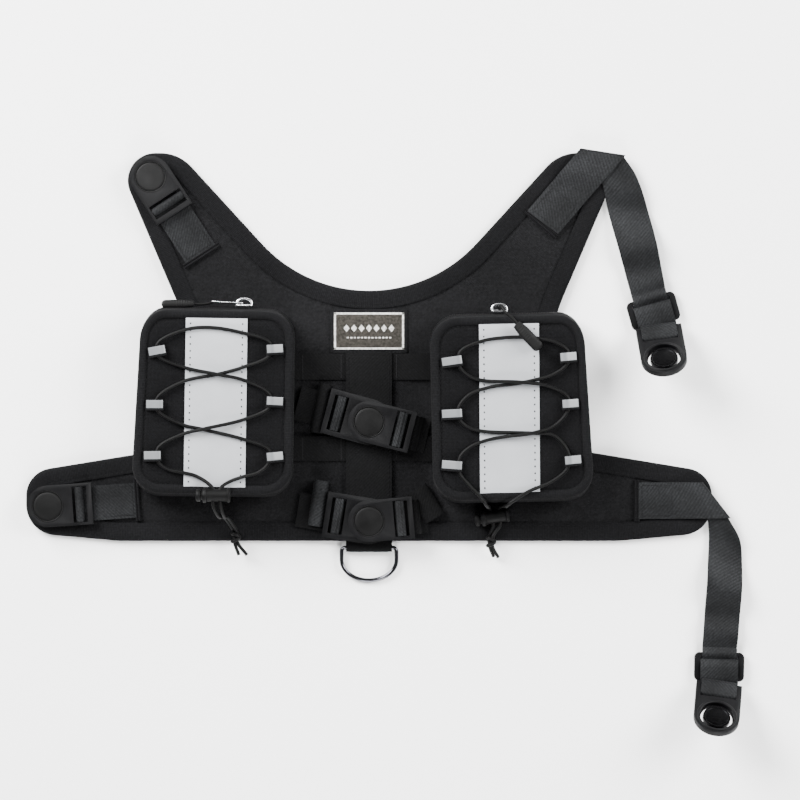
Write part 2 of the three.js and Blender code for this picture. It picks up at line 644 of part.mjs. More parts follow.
/** The zip's tape, open along the lower edge where the shells hinge. */
function zipTape() {
  const ring = plate(roundedOutline(pouchCorners, -ZIP_PROUD), ZIP_BASE, ZIP_BASE + ZIP_HEIGHT);
  const inside = plate(roundedOutline(pouchCorners, ZIP_WIDTH), 0, 2 * ZIP_BASE);
  const half = POUCH_WIDTH;
  const lower = block(-half, -POUCH_HEIGHT, 0, half, -POUCH_HEIGHT / 2 + HINGE_CUT, 2 * ZIP_BASE);
  return cut(ring, [inside, lower]);
}

/** Slider: two plates joined by a bridge, outside the zip on the pouch's upper side. */
function zipSlider() {
  const start = POUCH_HEIGHT / 2 + ZIP_PROUD + GAP;
  const middle = POUCH_BASE + ZIP_BASE + ZIP_HEIGHT / 2;
  return joined([
    block(-4.5, start, middle - 3.2, 4.5, start + 1.6, middle + 3.2),
    block(-2.2, start + 1, middle - 1.2, 2.2, start + 3.4, middle + 1.2),
  ]);
}

/** Pull: a cord from the slider to a moulded grip. */
function zipPull(route, gripFrom) {
  const cord = tube(route, 1.1, 2 * route.length, 8);
  const start = new THREE.Vector3(...route[gripFrom]);
  const end = new THREE.Vector3(...route[route.length - 1]);
  const length = end.distanceTo(start);
  const profile = [[0, 0], [2.2, 0.4], [3, 3], [3.2, length - 2], [2.4, length], [0, length + 0.4]];
  const grip = new THREE.LatheGeometry(profile.map(([r, z]) => new THREE.Vector2(r, z)), 12);
  grip.applyQuaternion(new THREE.Quaternion().setFromUnitVectors(
    new THREE.Vector3(0, 1, 0), end.clone().sub(start).normalize(),
  ));
  return joined([cord, grip.translate(start.x, start.y, start.z)]);
}

/** Three loops on one seam tape, each curled round the lace. side is 1 where the seam is at -X. */
function laceLoops(side, x, ys, seam) {
  const centre = LACE_LEVELS[1];
  const radius = LACE_RADIUS + LOOP_CLEAR + LOOP_TAPE / 2;
  const base = POUCH_FACE + GAP + LOOP_TAPE / 2;
  const bands = ys.map((y) => {
    const reach = Math.abs(x - seam);
    const path = [
      [0, base], [reach - 2, base],
      ...arcPoints(reach, centre, radius, -90, 90, 6), [SEAM_TAPE - 1, base + LOOP_TAPE],
    ];
    const band = ribbon(path, LOOP_TAPE, LOOP_WIDTH);
    if (side < 0) band.rotateZ(Math.PI);
    return band.translate(seam, y, 0);
  });
  const [from, to] = side > 0 ? [seam, seam + SEAM_TAPE] : [seam - SEAM_TAPE, seam];
  const low = Math.min(...ys) - LOOP_WIDTH / 2;
  const high = Math.max(...ys) + LOOP_WIDTH / 2;
  const tape = block(from, low, base - LOOP_TAPE / 2, to, high, base + LOOP_TAPE / 2);
  return joined([tape, ...bands]);
}

/** Heights of the lace's middle on the face, in a loop and over a crossing. */
function laceLevels() {
  const face = POUCH_FACE + GAP + PANEL_STRIP.thick + GAP + LACE_RADIUS;
  return [face, POUCH_FACE + GAP + LOOP_TAPE + LOOP_CLEAR + LACE_RADIUS, face + 2 * LACE_RADIUS + GAP];
}

/** The elastic lace: up from its knot through the lock, round the loops, and back down. */
function elasticLace(side) {
  const { up, lock, knot, ends, hang } = LACES[side];
  const run = up.map(([x, y, level]) => [x, y, LACE_LEVELS[level] ?? level]);
  const turn = degrees(LACES[side].lockTurn);
  const through = (s) => [-6, 6].map((d) => [
    lock[0] + s * LACES_APART * Math.cos(turn) + d * Math.sin(turn),
    lock[1] + s * LACES_APART * Math.sin(turn) - d * Math.cos(turn), lock[2],
  ]);
  const dropTo = (s) => hang.map(([y, z], n) => {
    const share = (n + 1) / (hang.length + 1);
    const start = lock[0] + s * LACES_APART;
    return [start + (knot[0] + s * 1.2 - start) * share, y, z];
  });
  const route = [
    ends[1], [knot[0] + 1.2, knot[1], knot[2]], ...dropTo(1).reverse(), ...through(1).reverse(),
    ...run, ...through(-1), ...dropTo(-1), [knot[0] - 1.2, knot[1], knot[2]], ends[0],
  ];
  const knotBall = new THREE.SphereGeometry(KNOT_RADIUS, 10, 8).translate(...knot);
  return joined([tube(route, LACE_RADIUS, LACE_STEPS, 8), knotBall]);
}

/** Lock barrel: a round cup open at one end, with a slot across it for the two laces. */
function lockPieces(side) {
  const { length, radius, wall, hole, slot } = LOCK;
  const barrel = disc(radius, -length / 2, length / 2, 0, 0, 20).rotateY(Math.PI / 2);
  const bore = disc(radius - wall, -length / 2 - 1, length / 2 - wall, 0, 0, 20).rotateY(Math.PI / 2);
  const pass = block(-slot / 2, -radius - 1, -hole / 2, slot / 2, radius + 1, hole / 2);
  const inner = radius - wall - GAP;
  const deep = length / 2 - wall - LOCK.travel - GAP;
  const stem = disc(inner, -length / 2 - 5, deep, 0, 0, 16).rotateY(Math.PI / 2);
  const room = block(-slot / 2 - LOCK.travel, -radius, -hole / 2, slot / 2, radius, hole / 2);
  const { lock, lockTurn } = LACES[side];
  return placed(
    lock[0], lock[1], lock[2], lockTurn,
    piece(`${side}_lock_barrel`, cut(barrel, [bore, pass]), 'plastic'),
    piece(`${side}_lock_plunger`, cut(stem, [room]), 'plastic'),
  );
}

/** Where the zip pull lies: along the pouch's upper side, or over its front face. */
function pullRoute(side) {
  const { x, pullEnd, overFront } = SLIDERS[side];
  const edge = POUCHES[side].y + POUCH_HEIGHT / 2;
  const bridge = edge + ZIP_PROUD + GAP + 3.4 + GAP + 1.1;
  const middle = POUCH_BASE + ZIP_BASE + ZIP_HEIGHT / 2;
  if (!overFront) {
    const out = bridge + 1.4;
    const points = [[x - 0.5, bridge, middle], [x - 12, out, middle], [x - 24, out, middle]];
    return { points: [...points, [x - 36, out, middle], [pullEnd, out, middle]], gripFrom: 3 };
  }
  const lie = POUCH_FACE + 7.2;
  return {
    points: [
      [x, bridge, middle], [x + 1, bridge + 1.2, POUCH_FACE - 4], [x + 3, bridge - 1, lie],
      [x + 9, bridge - 12, lie], [pullEnd, bridge - 29, lie],
    ],
    gripFrom: 3,
  };
}

function pouch(side) {
  const { x, y, turn } = POUCHES[side];
  const { width, height, thick } = PANEL_STRIP;
  const strip = roundedOutline(rectangle(-width / 2, -height / 2, width / 2, height / 2));
  const face = FRONT_BASE + FRONT_DEPTH;
  const loops = LOOPS[side];
  const sign = side === 'left' ? 1 : -1;
  const seamOut = x - sign * (POUCH_WIDTH / 2 - 5);
  const seamIn = x + sign * (POUCH_WIDTH / 2 - 5);
  const { points, gripFrom } = pullRoute(side);
  return [
    placed(
      x, y, POUCH_BASE, turn,
      piece(`${side}_pouch_back`, pouchShell(0, BACK_DEPTH), 'fabric'),
      piece(`${side}_pouch_front`, pouchShell(face, FRONT_BASE), 'fabric'),
      piece(`${side}_zip_tape`, zipTape(), 'fabric'),
      piece(`${side}_reflective_panel`, plate(strip, face + GAP, face + GAP + thick), 'reflective'),
    ),
    piece(`${side}_zip_slider`, zipSlider().translate(SLIDERS[side].x, y, 0), 'metal'),
    piece(`${side}_zip_pull`, zipPull(points, gripFrom), 'rubber'),
    piece(`${side}_loops_outer`, laceLoops(sign, loops.outer.x, loops.outer.ys, seamOut), 'webbing'),
    piece(`${side}_loops_inner`, laceLoops(-sign, loops.inner.x, loops.inner.ys, seamIn), 'webbing'),
    piece(`${side}_lace`, elasticLace(side), 'rubber'),
    lockPieces(side),
  ];
}

// ---------------------------------------------------------------- the whole vest

const vest = new THREE.Group();
vest.add(
  ...panelPieces(), spineWebbing(), leashRing(), ...attachmentRows(), wovenLabel(),
  ...['neck', 'belly'].flatMap((side) => [...capEnd(side), sewnRun(side), hangingRun(side)]),
  ...['upper', 'lower'].flatMap(centreBuckle),
  ...['left', 'right'].flatMap(pouch),
);

export default vest;
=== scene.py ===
"""A dog harness vest laid open: padded panel, webbing, magnetic buckles and two laced pouches.

Every piece is worked out in millimetres and put into the frame in metres. The frame's origin
is under the main panel, on the spine line: X across, Y towards the neck, Z up.
"""

import json
import math

import bmesh
import bpy
import numpy as np
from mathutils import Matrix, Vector


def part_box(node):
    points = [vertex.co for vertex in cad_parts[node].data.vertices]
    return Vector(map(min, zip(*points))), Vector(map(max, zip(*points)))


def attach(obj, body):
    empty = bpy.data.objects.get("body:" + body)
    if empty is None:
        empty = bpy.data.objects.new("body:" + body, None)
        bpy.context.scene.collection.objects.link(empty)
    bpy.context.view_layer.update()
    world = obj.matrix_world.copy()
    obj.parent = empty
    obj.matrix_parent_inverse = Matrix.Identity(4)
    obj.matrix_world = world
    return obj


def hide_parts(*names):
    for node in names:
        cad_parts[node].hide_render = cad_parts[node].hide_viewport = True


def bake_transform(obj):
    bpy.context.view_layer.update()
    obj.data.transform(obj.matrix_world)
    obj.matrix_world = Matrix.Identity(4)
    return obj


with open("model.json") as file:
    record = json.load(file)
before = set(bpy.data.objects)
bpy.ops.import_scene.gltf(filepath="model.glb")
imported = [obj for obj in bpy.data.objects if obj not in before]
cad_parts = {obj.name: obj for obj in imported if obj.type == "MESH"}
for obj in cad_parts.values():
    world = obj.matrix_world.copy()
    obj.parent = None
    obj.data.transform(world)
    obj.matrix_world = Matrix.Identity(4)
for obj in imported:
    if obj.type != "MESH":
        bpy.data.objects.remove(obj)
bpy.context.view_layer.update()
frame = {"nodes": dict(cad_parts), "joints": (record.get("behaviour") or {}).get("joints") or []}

MM = 0.001
TAU = 2 * math.pi
WELD_GAP = 1e-7  # metres
WAVE = math.pi / 10  # a wave texture's period at scale 1

# ---------------------------------------------------------------- sizes, in millimetres

WEB = 25.0  # strap webbing
WEB_THICK = 1.4
SPINE_WEB = 33.0
BINDING = 13.0
PANEL_TOP = 4.3
RIM_TOP = 5.4
ROW_TOP = 5.9
POUCH_BASE = 6.0
FACE = 34.3  # pouch face above the floor
LACE = 1.25  # lace radius
BUCKLE_END = 32.0
BAR_AT = 23.0
BAR_HEIGHT = 3.45
LOOP_RADIUS = 2.45
FRAME_BASE = 2.0
LEG_CENTRE = 1.0
SEAT_TILT = 46.0  # degrees
SLIT_WIDTH = 30.0
SLIT_THICK = 3.6
STITCH = (2.6, 0.42, 0.30)  # length, width, height
STITCH_PITCH = 4.0


def box_mm(name):
    """The lowest and highest corner of a node, in millimetres."""
    low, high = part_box(name)
    return np.array(low) / MM, np.array(high) / MM


def joint_named(name):
    """A joint's place in millimetres and its axis."""
    found = next(j for j in frame["joints"] if j["name"] == name)
    return np.array(found.get("pos_m", (0, 0, 0))) / MM, np.array(found["axis"], float)


# ---------------------------------------------------------------- grids and meshes


def grid(points, wrap=(False, False), capped=False, uv=None):
    """A part of a mesh: quads over points[i, j]. wrap closes i or j on itself, and capped closes
    the two ends along i, each with its own middle point. uv[i, j] is in millimetres, with one
    more row or column where a direction wraps."""
    points = np.asarray(points, float)
    rows, cols = points.shape[:2]
    if uv is None:
        uv = np.stack(np.meshgrid(np.arange(rows + wrap[0]), np.arange(cols + wrap[1]), indexing="ij"), -1)
    uv = np.asarray(uv, float)
    if capped:
        ends = [np.repeat(points[k].mean(0)[None, None], cols, 1) for k in (0, -1)]
        points = np.concatenate([ends[0], points, ends[1]], 0)
        uv = np.concatenate([uv[:1], uv, uv[-1:]], 0)
        rows += 2
    i, j = np.meshgrid(np.arange(rows - 1 + wrap[0]), np.arange(cols - 1 + wrap[1]), indexing="ij")
    steps = [(0, 0), (1, 0), (1, 1), (0, 1)]
    quads = np.stack([((i + a) % rows) * cols + (j + b) % cols for a, b in steps], -1).reshape(-1, 4)
    loops = np.stack([uv[i + a, j + b] for a, b in steps], 2).reshape(-1, 2)
    return {"points": points.reshape(-1, 3), "quads": quads, "uv": loops}


def repeated(part, centres, along, up):
    """Copies of a small part, its x laid along one direction and its z along another."""
    centres, along, up = (np.asarray(a, float) for a in (centres, along, up))
    along = unit(along)
    side = unit(np.cross(up, along))
    up = np.cross(along, side)
    p = part["points"]
    points = (
        centres[:, None] + p[None, :, :1] * along[:, None]
        + p[None, :, 1:2] * side[:, None] + p[None, :, 2:] * up[:, None]
    )
    count = len(p)
    quads = part["quads"][None] + np.arange(len(centres))[:, None, None] * count
    return {
        "points": points.reshape(-1, 3),
        "quads": quads.reshape(-1, 4),
        "uv": np.tile(part["uv"], (len(centres), 1)),
    }


def unit(v):
    v = np.asarray(v, float)
    return v / np.maximum(np.linalg.norm(v, axis=-1, keepdims=True), 1e-12)


def outward(part):
    """The part with its faces turned out, told by the sign of the volume they enclose."""
    p = part["points"][part["quads"]]
    halves = [np.einsum("ij,ij->i", p[:, 0], np.cross(p[:, a], p[:, b])).sum() for a, b in ((1, 2), (2, 3))]
    if sum(halves) < 0:
        quads = part["quads"][:, ::-1]
        loops = part["uv"].reshape(-1, 4, 2)[:, ::-1].reshape(-1, 2)
        return {**part, "quads": quads, "uv": loops}
    return part


def flare(y):
    """How far a pouch's outer side lies past its straight line: -y / 22.5 - 1.7."""
    return -y / 22.5 - 1.7


class Place:
    """A place with its own x, y and z directions; of() takes points there."""

    def __init__(self, origin=(0, 0, 0), x=(1, 0, 0), z=(0, 0, 1)):
        self.origin = np.asarray(origin, float)
        self.x = unit(x)
        self.z = unit(z)
        self.y = np.cross(self.z, self.x)

    def of(self, points):
        points = np.asarray(points, float)
        return self.origin + points @ np.stack([self.x, self.y, self.z])

    def part(self, part):
        return {**part, "points": self.of(part["points"])}


class FlaredPlace(Place):
    """A pouch's place, whose outer side leans outwards towards the hinge."""

    def __init__(self, origin, x, side):
        super().__init__(origin, x)
        self.side = side

    def of(self, points):
        points = np.array(points, float)
        share = np.clip((points[..., 0] * self.side - 24) / 30, 0, 1)
        points[..., 0] += self.side * share * flare(points[..., 1])
        return super().of(points)


def put(name, parts, material, body, stands_for=(), sharp=38):
    """One object from its parts: closed, faces out, at the origin, on a body."""
    parts = [outward(p) for p in parts]
    starts = np.cumsum([0] + [len(p["points"]) for p in parts[:-1]])
    points = np.concatenate([p["points"] for p in parts]) * MM
    quads = np.concatenate([p["quads"] + s for p, s in zip(parts, starts)])
    loops = np.concatenate([p["uv"] for p in parts]) * MM
    mesh = bpy.data.meshes.new(name)
    mesh.vertices.add(len(points))
    mesh.vertices.foreach_set("co", points.ravel())
    mesh.loops.add(quads.size)
    mesh.loops.foreach_set("vertex_index", quads.ravel())
    mesh.polygons.add(len(quads))
    mesh.polygons.foreach_set("loop_start", np.arange(0, quads.size, 4))
    mesh.update(calc_edges=True)
    mesh.uv_layers.new(name="UVMap").data.foreach_set("uv", loops.ravel())
    weld(mesh)
    mesh.shade_smooth()
    mesh.set_sharp_from_angle(angle=math.radians(sharp))
    return finish_piece(name, mesh, material, body, stands_for)


def weld(mesh):
    """Joins points that lie together, so that poles and ends are closed."""
    work = bmesh.new()
    work.from_mesh(mesh)
    bmesh.ops.remove_doubles(work, verts=work.verts, dist=WELD_GAP)
    work.to_mesh(mesh)
    work.free()


def finish_piece(name, mesh, material, body, stands_for=()):
    """The object of a mesh, with its material and its body, and the nodes it stands for hidden."""
    piece = bpy.data.objects.new(name, mesh)
    bpy.context.scene.collection.objects.link(piece)
    mesh.materials.clear()
    mesh.materials.append(material)
    if body:
        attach(piece, body)
    if stands_for:
        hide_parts(*stands_for)
    return piece


def softened(name, node, material, body, edge=0.5):
    """A node's own solid with its edges rounded: merged, flat faces joined, then bevelled."""
    mesh = frame["nodes"][node].data.copy()
    work = bmesh.new()
    work.from_mesh(mesh)
    bmesh.ops.remove_doubles(work, verts=work.verts, dist=2e-6)
    bmesh.ops.dissolve_limit(work, angle_limit=math.radians(1), verts=work.verts, edges=work.edges)
    work.to_mesh(mesh)
    work.free()
    mesh.shade_smooth()
    piece = finish_piece(name, mesh, material, body, (node,))
    bevel = piece.modifiers.new("rounded edges", "BEVEL")
    bevel.width = edge * MM
    bevel.segments = 3
    bevel.limit_method = "ANGLE"
    bevel.angle_limit = math.radians(28)
    bevel.harden_normals = True
    return piece


# ---------------------------------------------------------------- curves and outlines


def smooth(points, step=2.0):
    """A curve through the points (Catmull-Rom, spaced by the square root of each chord), resampled
    so that its samples lie step apart."""
    p = np.asarray(points, float)
    p = np.concatenate([[2 * p[0] - p[1]], p, [2 * p[-1] - p[-2]]])
    knots = np.concatenate([[0], np.cumsum(np.sqrt(np.linalg.norm(np.diff(p, axis=0), axis=1)))])
    count = len(p) - 3
    s = np.linspace(0, 1, 24, endpoint=False)
    k = np.arange(count)[:, None]
    t0, t1, t2, t3 = (knots[k + n] for n in range(4))
    t = t1 + (t2 - t1) * s[None]
    p0, p1, p2, p3 = (p[k + n] for n in range(4))

    def mix(a, b, ta, tb):
        return ((tb - t)[..., None] * a + (t - ta)[..., None] * b) / (tb - ta)[..., None]

    a1, a2, a3 = mix(p0, p1, t0, t1), mix(p1, p2, t1, t2), mix(p2, p3, t2, t3)
    b1, b2 = mix(a1, a2, t0, t2), mix(a2, a3, t1, t3)
    curve = np.concatenate([mix(b1, b2, t1, t2).reshape(-1, p.shape[1]), p[-2:-1]])
    return spaced(curve, step)


def spaced(curve, step, closed=False):
    """The same line with even samples about step apart."""
    if closed:
        curve = np.concatenate([curve, curve[:1]])
    run = np.concatenate([[0], np.cumsum(np.linalg.norm(np.diff(curve, axis=0), axis=1))])
    count = max(3, int(round(run[-1] / step)) + 1)
    at = np.linspace(0, run[-1], count)
    out = np.stack([np.interp(at, run, curve[:, k]) for k in range(curve.shape[1])], -1)
    return out[:-1] if closed else out


def directions(curve, closed=False):
    """The unit direction of travel at each sample."""
    if closed:
        return unit(np.roll(curve, -1, 0) - np.roll(curve, 1, 0))
    return unit(np.gradient(curve, axis=0))


def length_of(curve):
    return np.concatenate([[0], np.cumsum(np.linalg.norm(np.diff(curve, axis=0), axis=1))])


def outline(corners, step=2.0):
    """Samples along a polygon with rounded corners [x, y, radius], anticlockwise, and the inward
    direction at each. A corner is an arc tangent to both its sides."""
    c = np.array([k[:2] for k in corners], float)
    radius = [k[2] for k in corners]
    ahead = unit(np.roll(c, -1, 0) - c)
    arcs = []
    for i, point in enumerate(c):
        before, after = ahead[i - 1], ahead[i]
        turn = math.atan2(before[0] * after[1] - before[1] * after[0], before @ after)
        back = radius[i] * abs(math.tan(turn / 2))
        inward = np.array([-before[1], before[0]])
        start = point - before * back
        centre = start + inward * radius[i] * np.sign(turn)
        count = max(3, int(radius[i] * abs(turn) / step) + 2)
        angle = turn * np.linspace(0, 1, count)
        spin = np.stack([np.cos(angle), -np.sin(angle), np.sin(angle), np.cos(angle)], -1).reshape(-1, 2, 2)
        arcs.append((centre + spin @ (start - centre), spin @ inward))
    line, inward = [], []
    for i, (points, normals) in enumerate(arcs):
        following = arcs[(i + 1) % len(arcs)][0][0]
        gap = np.linalg.norm(following - points[-1])
        share = np.arange(1, max(1, int(gap / step)))[:, None] * step / max(gap, step)
        line += [points, points[-1] + (following - points[-1]) * share]
        inward += [normals, np.repeat(normals[-1:], len(share), 0)]
    return np.concatenate(line), unit(np.concatenate(inward))


def rounded_box(half_w, half_h, radius, side=12, corner=8):
    """Samples round a box with rounded corners; the same counts for every size, so that boxes
    inside each other pair up."""
    turn = np.linspace(0, math.pi / 2, corner + 1)
    signs = [(1, -1, -90), (1, 1, 0), (-1, 1, 90), (-1, -1, 180)]
    corners = [
        np.stack([
            sx * (half_w - radius) + radius * np.cos(turn + math.radians(a)),
            sy * (half_h - radius) + radius * np.sin(turn + math.radians(a)),
        ], -1)
        for sx, sy, a in signs
    ]
    share = np.linspace(0, 1, side + 1)[1:-1, None]
    pieces = []
    for n, points in enumerate(corners):
        following = corners[(n + 1) % 4][0]
        pieces += [points, points[-1] * (1 - share) + following * share]
    return np.concatenate(pieces)


# ---------------------------------------------------------------- swept and turned shapes


def tube(curve, radius, ref=(0, 0, 1), sides=12, closed=False, taper=None):
    """A round section carried along a curve: centre + radius (cos a * side + sin a * up)."""
    curve = np.asarray(curve, float)
    along = directions(curve, closed)
    side = unit(np.cross(along, np.broadcast_to(ref, along.shape)))
    up = np.cross(side, along)
    a = np.arange(sides) * TAU / sides
    r = radius if taper is None else radius * np.asarray(taper)[:, None, None]
    ring = np.cos(a)[None, :, None] * side[:, None] + np.sin(a)[None, :, None] * up[:, None]
    points = curve[:, None] + r * ring
    run = length_of(np.concatenate([curve, curve[:1]]) if closed else curve)
    uv = np.stack(np.meshgrid(run, np.arange(sides + 1) * TAU * radius / sides, indexing="ij"), -1)
    return grid(points, wrap=(closed, True), capped=not closed, uv=uv)


def webbing(centre, side, normal, thick=WEB_THICK):
    """A strap: a flat section with round edges, side being half its width. Its u runs along the
    strap and its v across it."""
    s = np.linspace(-1, 1, 13)
    a = np.concatenate([s, [1.0], s[::-1], [-1.0]])
    edge = np.where(np.abs(s) > 0.999, 0.35, 0.5)
    b = np.concatenate([edge, [0.0], -edge[::-1], [0.0]]) * thick
    half = np.linalg.norm(side, axis=-1)
    points = centre[:, None] + side[:, None] * a[None, :, None] + normal[:, None] * b[None, :, None]
    run = length_of(centre)
    wrapped = np.append(a, a[0])
    uv = np.stack([np.repeat(run[:, None], len(wrapped), 1), half[:, None] * wrapped[None]], -1)
    return grid(points, wrap=(False, True), capped=True, uv=uv)


def strap(left, right):
    """Webbing between two edge curves with the same number of samples."""
    left, right = np.asarray(left, float), np.asarray(right, float)
    centre = (left + right) / 2
    side = (right - left) / 2
    normal = unit(np.cross(side, directions(centre)))
    normal *= np.sign(normal[:, 2:])
    return webbing(centre, side, normal)


def band(path, width, thick=WEB_THICK, step=1.2):
    """Webbing whose side view follows path, points [x, z]; its width lies along y."""
    curve = spaced(np.asarray(path, float), step)
    centre = np.stack([curve[:, 0], np.zeros(len(curve)), curve[:, 1]], -1)
    along = directions(centre)
    side = np.repeat([[0, width / 2, 0]], len(centre), 0)
    return webbing(centre, side, unit(np.cross(along, side)), thick)


def turned(profile, sides=48):
    """A profile [radius, z] turned about z."""
    profile = np.asarray(profile, float)
    a = np.arange(sides) * TAU / sides
    points = np.stack([
        profile[:, None, 0] * np.cos(a),
        profile[:, None, 0] * np.sin(a),
        np.repeat(profile[:, None, 1], sides, 1),
    ], -1)
    run = length_of(profile)
    around = np.arange(sides + 1) * TAU * profile[:, 0].max() / sides
    uv = np.stack(np.meshgrid(run, around, indexing="ij"), -1)
    return grid(points, wrap=(False, True), uv=uv)


def lofted(rings, heights):
    """A surface through outlines [n, 2] at their heights, which may themselves vary round the
    outline. The first and last outline close the shape."""
    points = np.stack([
        np.concatenate([ring, np.broadcast_to(np.asarray(z, float).reshape(-1, 1), (len(ring), 1))], 1)
        for ring, z in zip(rings, heights)
    ])
    flat = points[:, :, :2]
    uv = np.concatenate([flat, flat[:, :1]], 1)
    return grid(points, wrap=(False, True), uv=uv)


def slab(half_w, half_h, radius, bottom, top, edge=0.4, side=12):
    """A flat pad with round corners and round edges: outlines at (inset, height) from the middle
    of its base, round its rim, to the middle of its top."""
    steps = np.linspace(0, math.pi / 2, 4)[::-1]
    insets = edge * (1 - np.cos(steps))
    rise = edge * np.sin(steps)
    insides = np.linspace(edge, min(half_w, half_h) * 0.96, 7)[1:]
    profile = [(i, bottom) for i in insides[::-1]]
    profile += [(i, bottom + edge - r) for i, r in zip(insets, rise)]
    profile += [(i, top - edge + r) for i, r in zip(insets[::-1], rise[::-1])]
    profile += [(i, top) for i in insides]
    rings = [inset_box(half_w, half_h, radius, inset, side) for inset, _ in profile]
    middle = np.zeros_like(rings[0])
    heights = [bottom, *(z for _, z in profile), top]
    return lofted([middle, *rings, middle], heights)


def inset_box(half_w, half_h, radius, inset, side=12):
    """A rounded box drawn in from its outline by inset."""
    small = max(radius - inset, 0.15)
    return rounded_box(max(half_w - inset, 0.2), max(half_h - inset, 0.2), min(small, half_w, half_h), side)


def capsule(length, width, height):
    """A thread stitch: an ellipsoid, 6 rings of 6."""
    t = np.linspace(0, math.pi, 6)
    a = np.arange(6) * TAU / 6
    points = np.stack([
        np.repeat(-np.cos(t)[:, None] * length / 2, 6, 1),
        np.sin(t)[:, None] ** 0.6 * np.cos(a) * width / 2,
        np.sin(t)[:, None] ** 0.6 * np.sin(a) * height / 2,
    ], -1)
    return grid(points, wrap=(False, True))


def stitches(curve, pitch=STITCH_PITCH, size=STITCH):
    """A row of stitches along a curve, one every pitch."""
    marks = spaced(np.asarray(curve, float), pitch)
    middles = (marks[1:] + marks[:-1]) / 2
    ups = np.broadcast_to((0, 0, 1), middles.shape)
    return repeated(capsule(*size), middles, np.diff(marks, axis=0), ups)


# ---------------------------------------------------------------- materials


def linear(code):
    """An sRGB hex colour as linear RGBA."""
    parts = [int(code[i:i + 2], 16) / 255 for i in (1, 3, 5)]
    return [c / 12.92 if c <= 0.04045 else ((c + 0.055) / 1.055) ** 2.4 for c in parts] + [1]


def add(tree, kind, inputs=None, **settings):
    """Adds a node: settings are its own properties, inputs its sockets' values or links, each
    socket by its name or its number."""
    new = tree.nodes.new(kind)
    for key, value in settings.items():
        setattr(new, key, value)
    for key, value in (inputs or {}).items():
        if isinstance(value, bpy.types.NodeSocket):
            tree.links.new(value, new.inputs[key])
        else:
            new.inputs[key].default_value = value
    return new


def material(name, slot, roughness, **shader):
    """A new material with its shader's plain values set."""
    made = bpy.data.materials.new(name)
    made.use_nodes = True
    tree = made.node_tree
    bsdf = tree.nodes["Principled BSDF"]
    bsdf.inputs["Roughness"].default_value = roughness
    for key, value in shader.items():
        bsdf.inputs[key.replace("_", " ")].default_value = value
    return made, tree, bsdf


def cloth(name, slot, dark, light, thread, roughness=0.85, weave=0.25, use_uv=False, kind="plain",
          mottle=0.5):
    """Woven cloth: over-and-under threads, thread millimetres apart and weave millimetres deep,
    that catch the light, and a slow change of tone at random, a few centimetres across."""
    made, tree, bsdf = material(name, slot, roughness, Sheen_Weight=0.01, Sheen_Roughness=0.5,
                                Specular_IOR_Level=0.06)
    place = add(tree, "ShaderNodeTexCoord").outputs["UV" if use_uv else "Object"]
    warp, weft = (
        add(tree, "ShaderNodeTexWave", {"Vector": place, "Scale": WAVE / (thread * MM), "Distortion": 0.0},
            bands_direction=axis).outputs["Color"]
        for axis in "XY"
    )
    if kind == "plain":
        share, a, b = add(tree, "ShaderNodeTexChecker", {
            "Vector": place, "Scale": 1 / (thread * MM),
        }).outputs["Fac"], warp, weft
    elif kind == "ribbed":
        share, a, b = 0.25, warp, weft
    else:
        chevron = add(tree, "ShaderNodeTexWave", {
            "Vector": place, "Scale": WAVE / (thread * 1.6 * MM), "Distortion": 0.0,
        }, bands_direction="DIAGONAL").outputs["Color"]
        share, a, b = 0.55, weft, chevron
    threads = add(tree, "ShaderNodeMix", {0: share, 6: a, 7: b}, data_type="RGBA").outputs[2]
    cloud = add(tree, "ShaderNodeTexNoise", {"Vector": place, "Scale": 28.0, "Detail": 3.0}).outputs["Fac"]
    grain = add(tree, "ShaderNodeTexNoise", {"Vector": place, "Scale": 650.0, "Detail": 2.0}).outputs["Fac"]
    tone = add(tree, "ShaderNodeMix", {0: threads, 6: linear(dark), 7: linear(light)},
               data_type="RGBA").outputs[2]
    shade = add(tree, "ShaderNodeMapRange", {"Value": cloud, "From Min": 0.3, "From Max": 0.7,
                                             "To Min": 1 - mottle * 0.35, "To Max": 1 + mottle * 0.35})
    speck = add(tree, "ShaderNodeMapRange", {"Value": grain, "From Min": 0.3, "From Max": 0.7,
                                             "To Min": 0.62, "To Max": 1.5})
    both = add(tree, "ShaderNodeMath", {0: shade.outputs[0], 1: speck.outputs[0]}, operation="MULTIPLY")
    toned = add(tree, "ShaderNodeVectorMath", {0: tone, "Scale": both.outputs[0]}, operation="SCALE")
    tree.links.new(toned.outputs[0], bsdf.inputs["Base Color"])
    fine = add(tree, "ShaderNodeBump", {"Height": threads, "Strength": 1.0, "Distance": weave * MM})
    creases = add(tree, "ShaderNodeBump", {
        "Height": add(tree, "ShaderNodeTexNoise", {"Vector": place, "Scale": 70.0, "Detail": 4.0,
                                                   "Roughness": 0.55}).outputs["Fac"],
        "Strength": 0.5, "Distance": 1.0 * MM, "Normal": fine.outputs[0],
    })
    tree.links.new(creases.outputs[0], bsdf.inputs["Normal"])
    return made


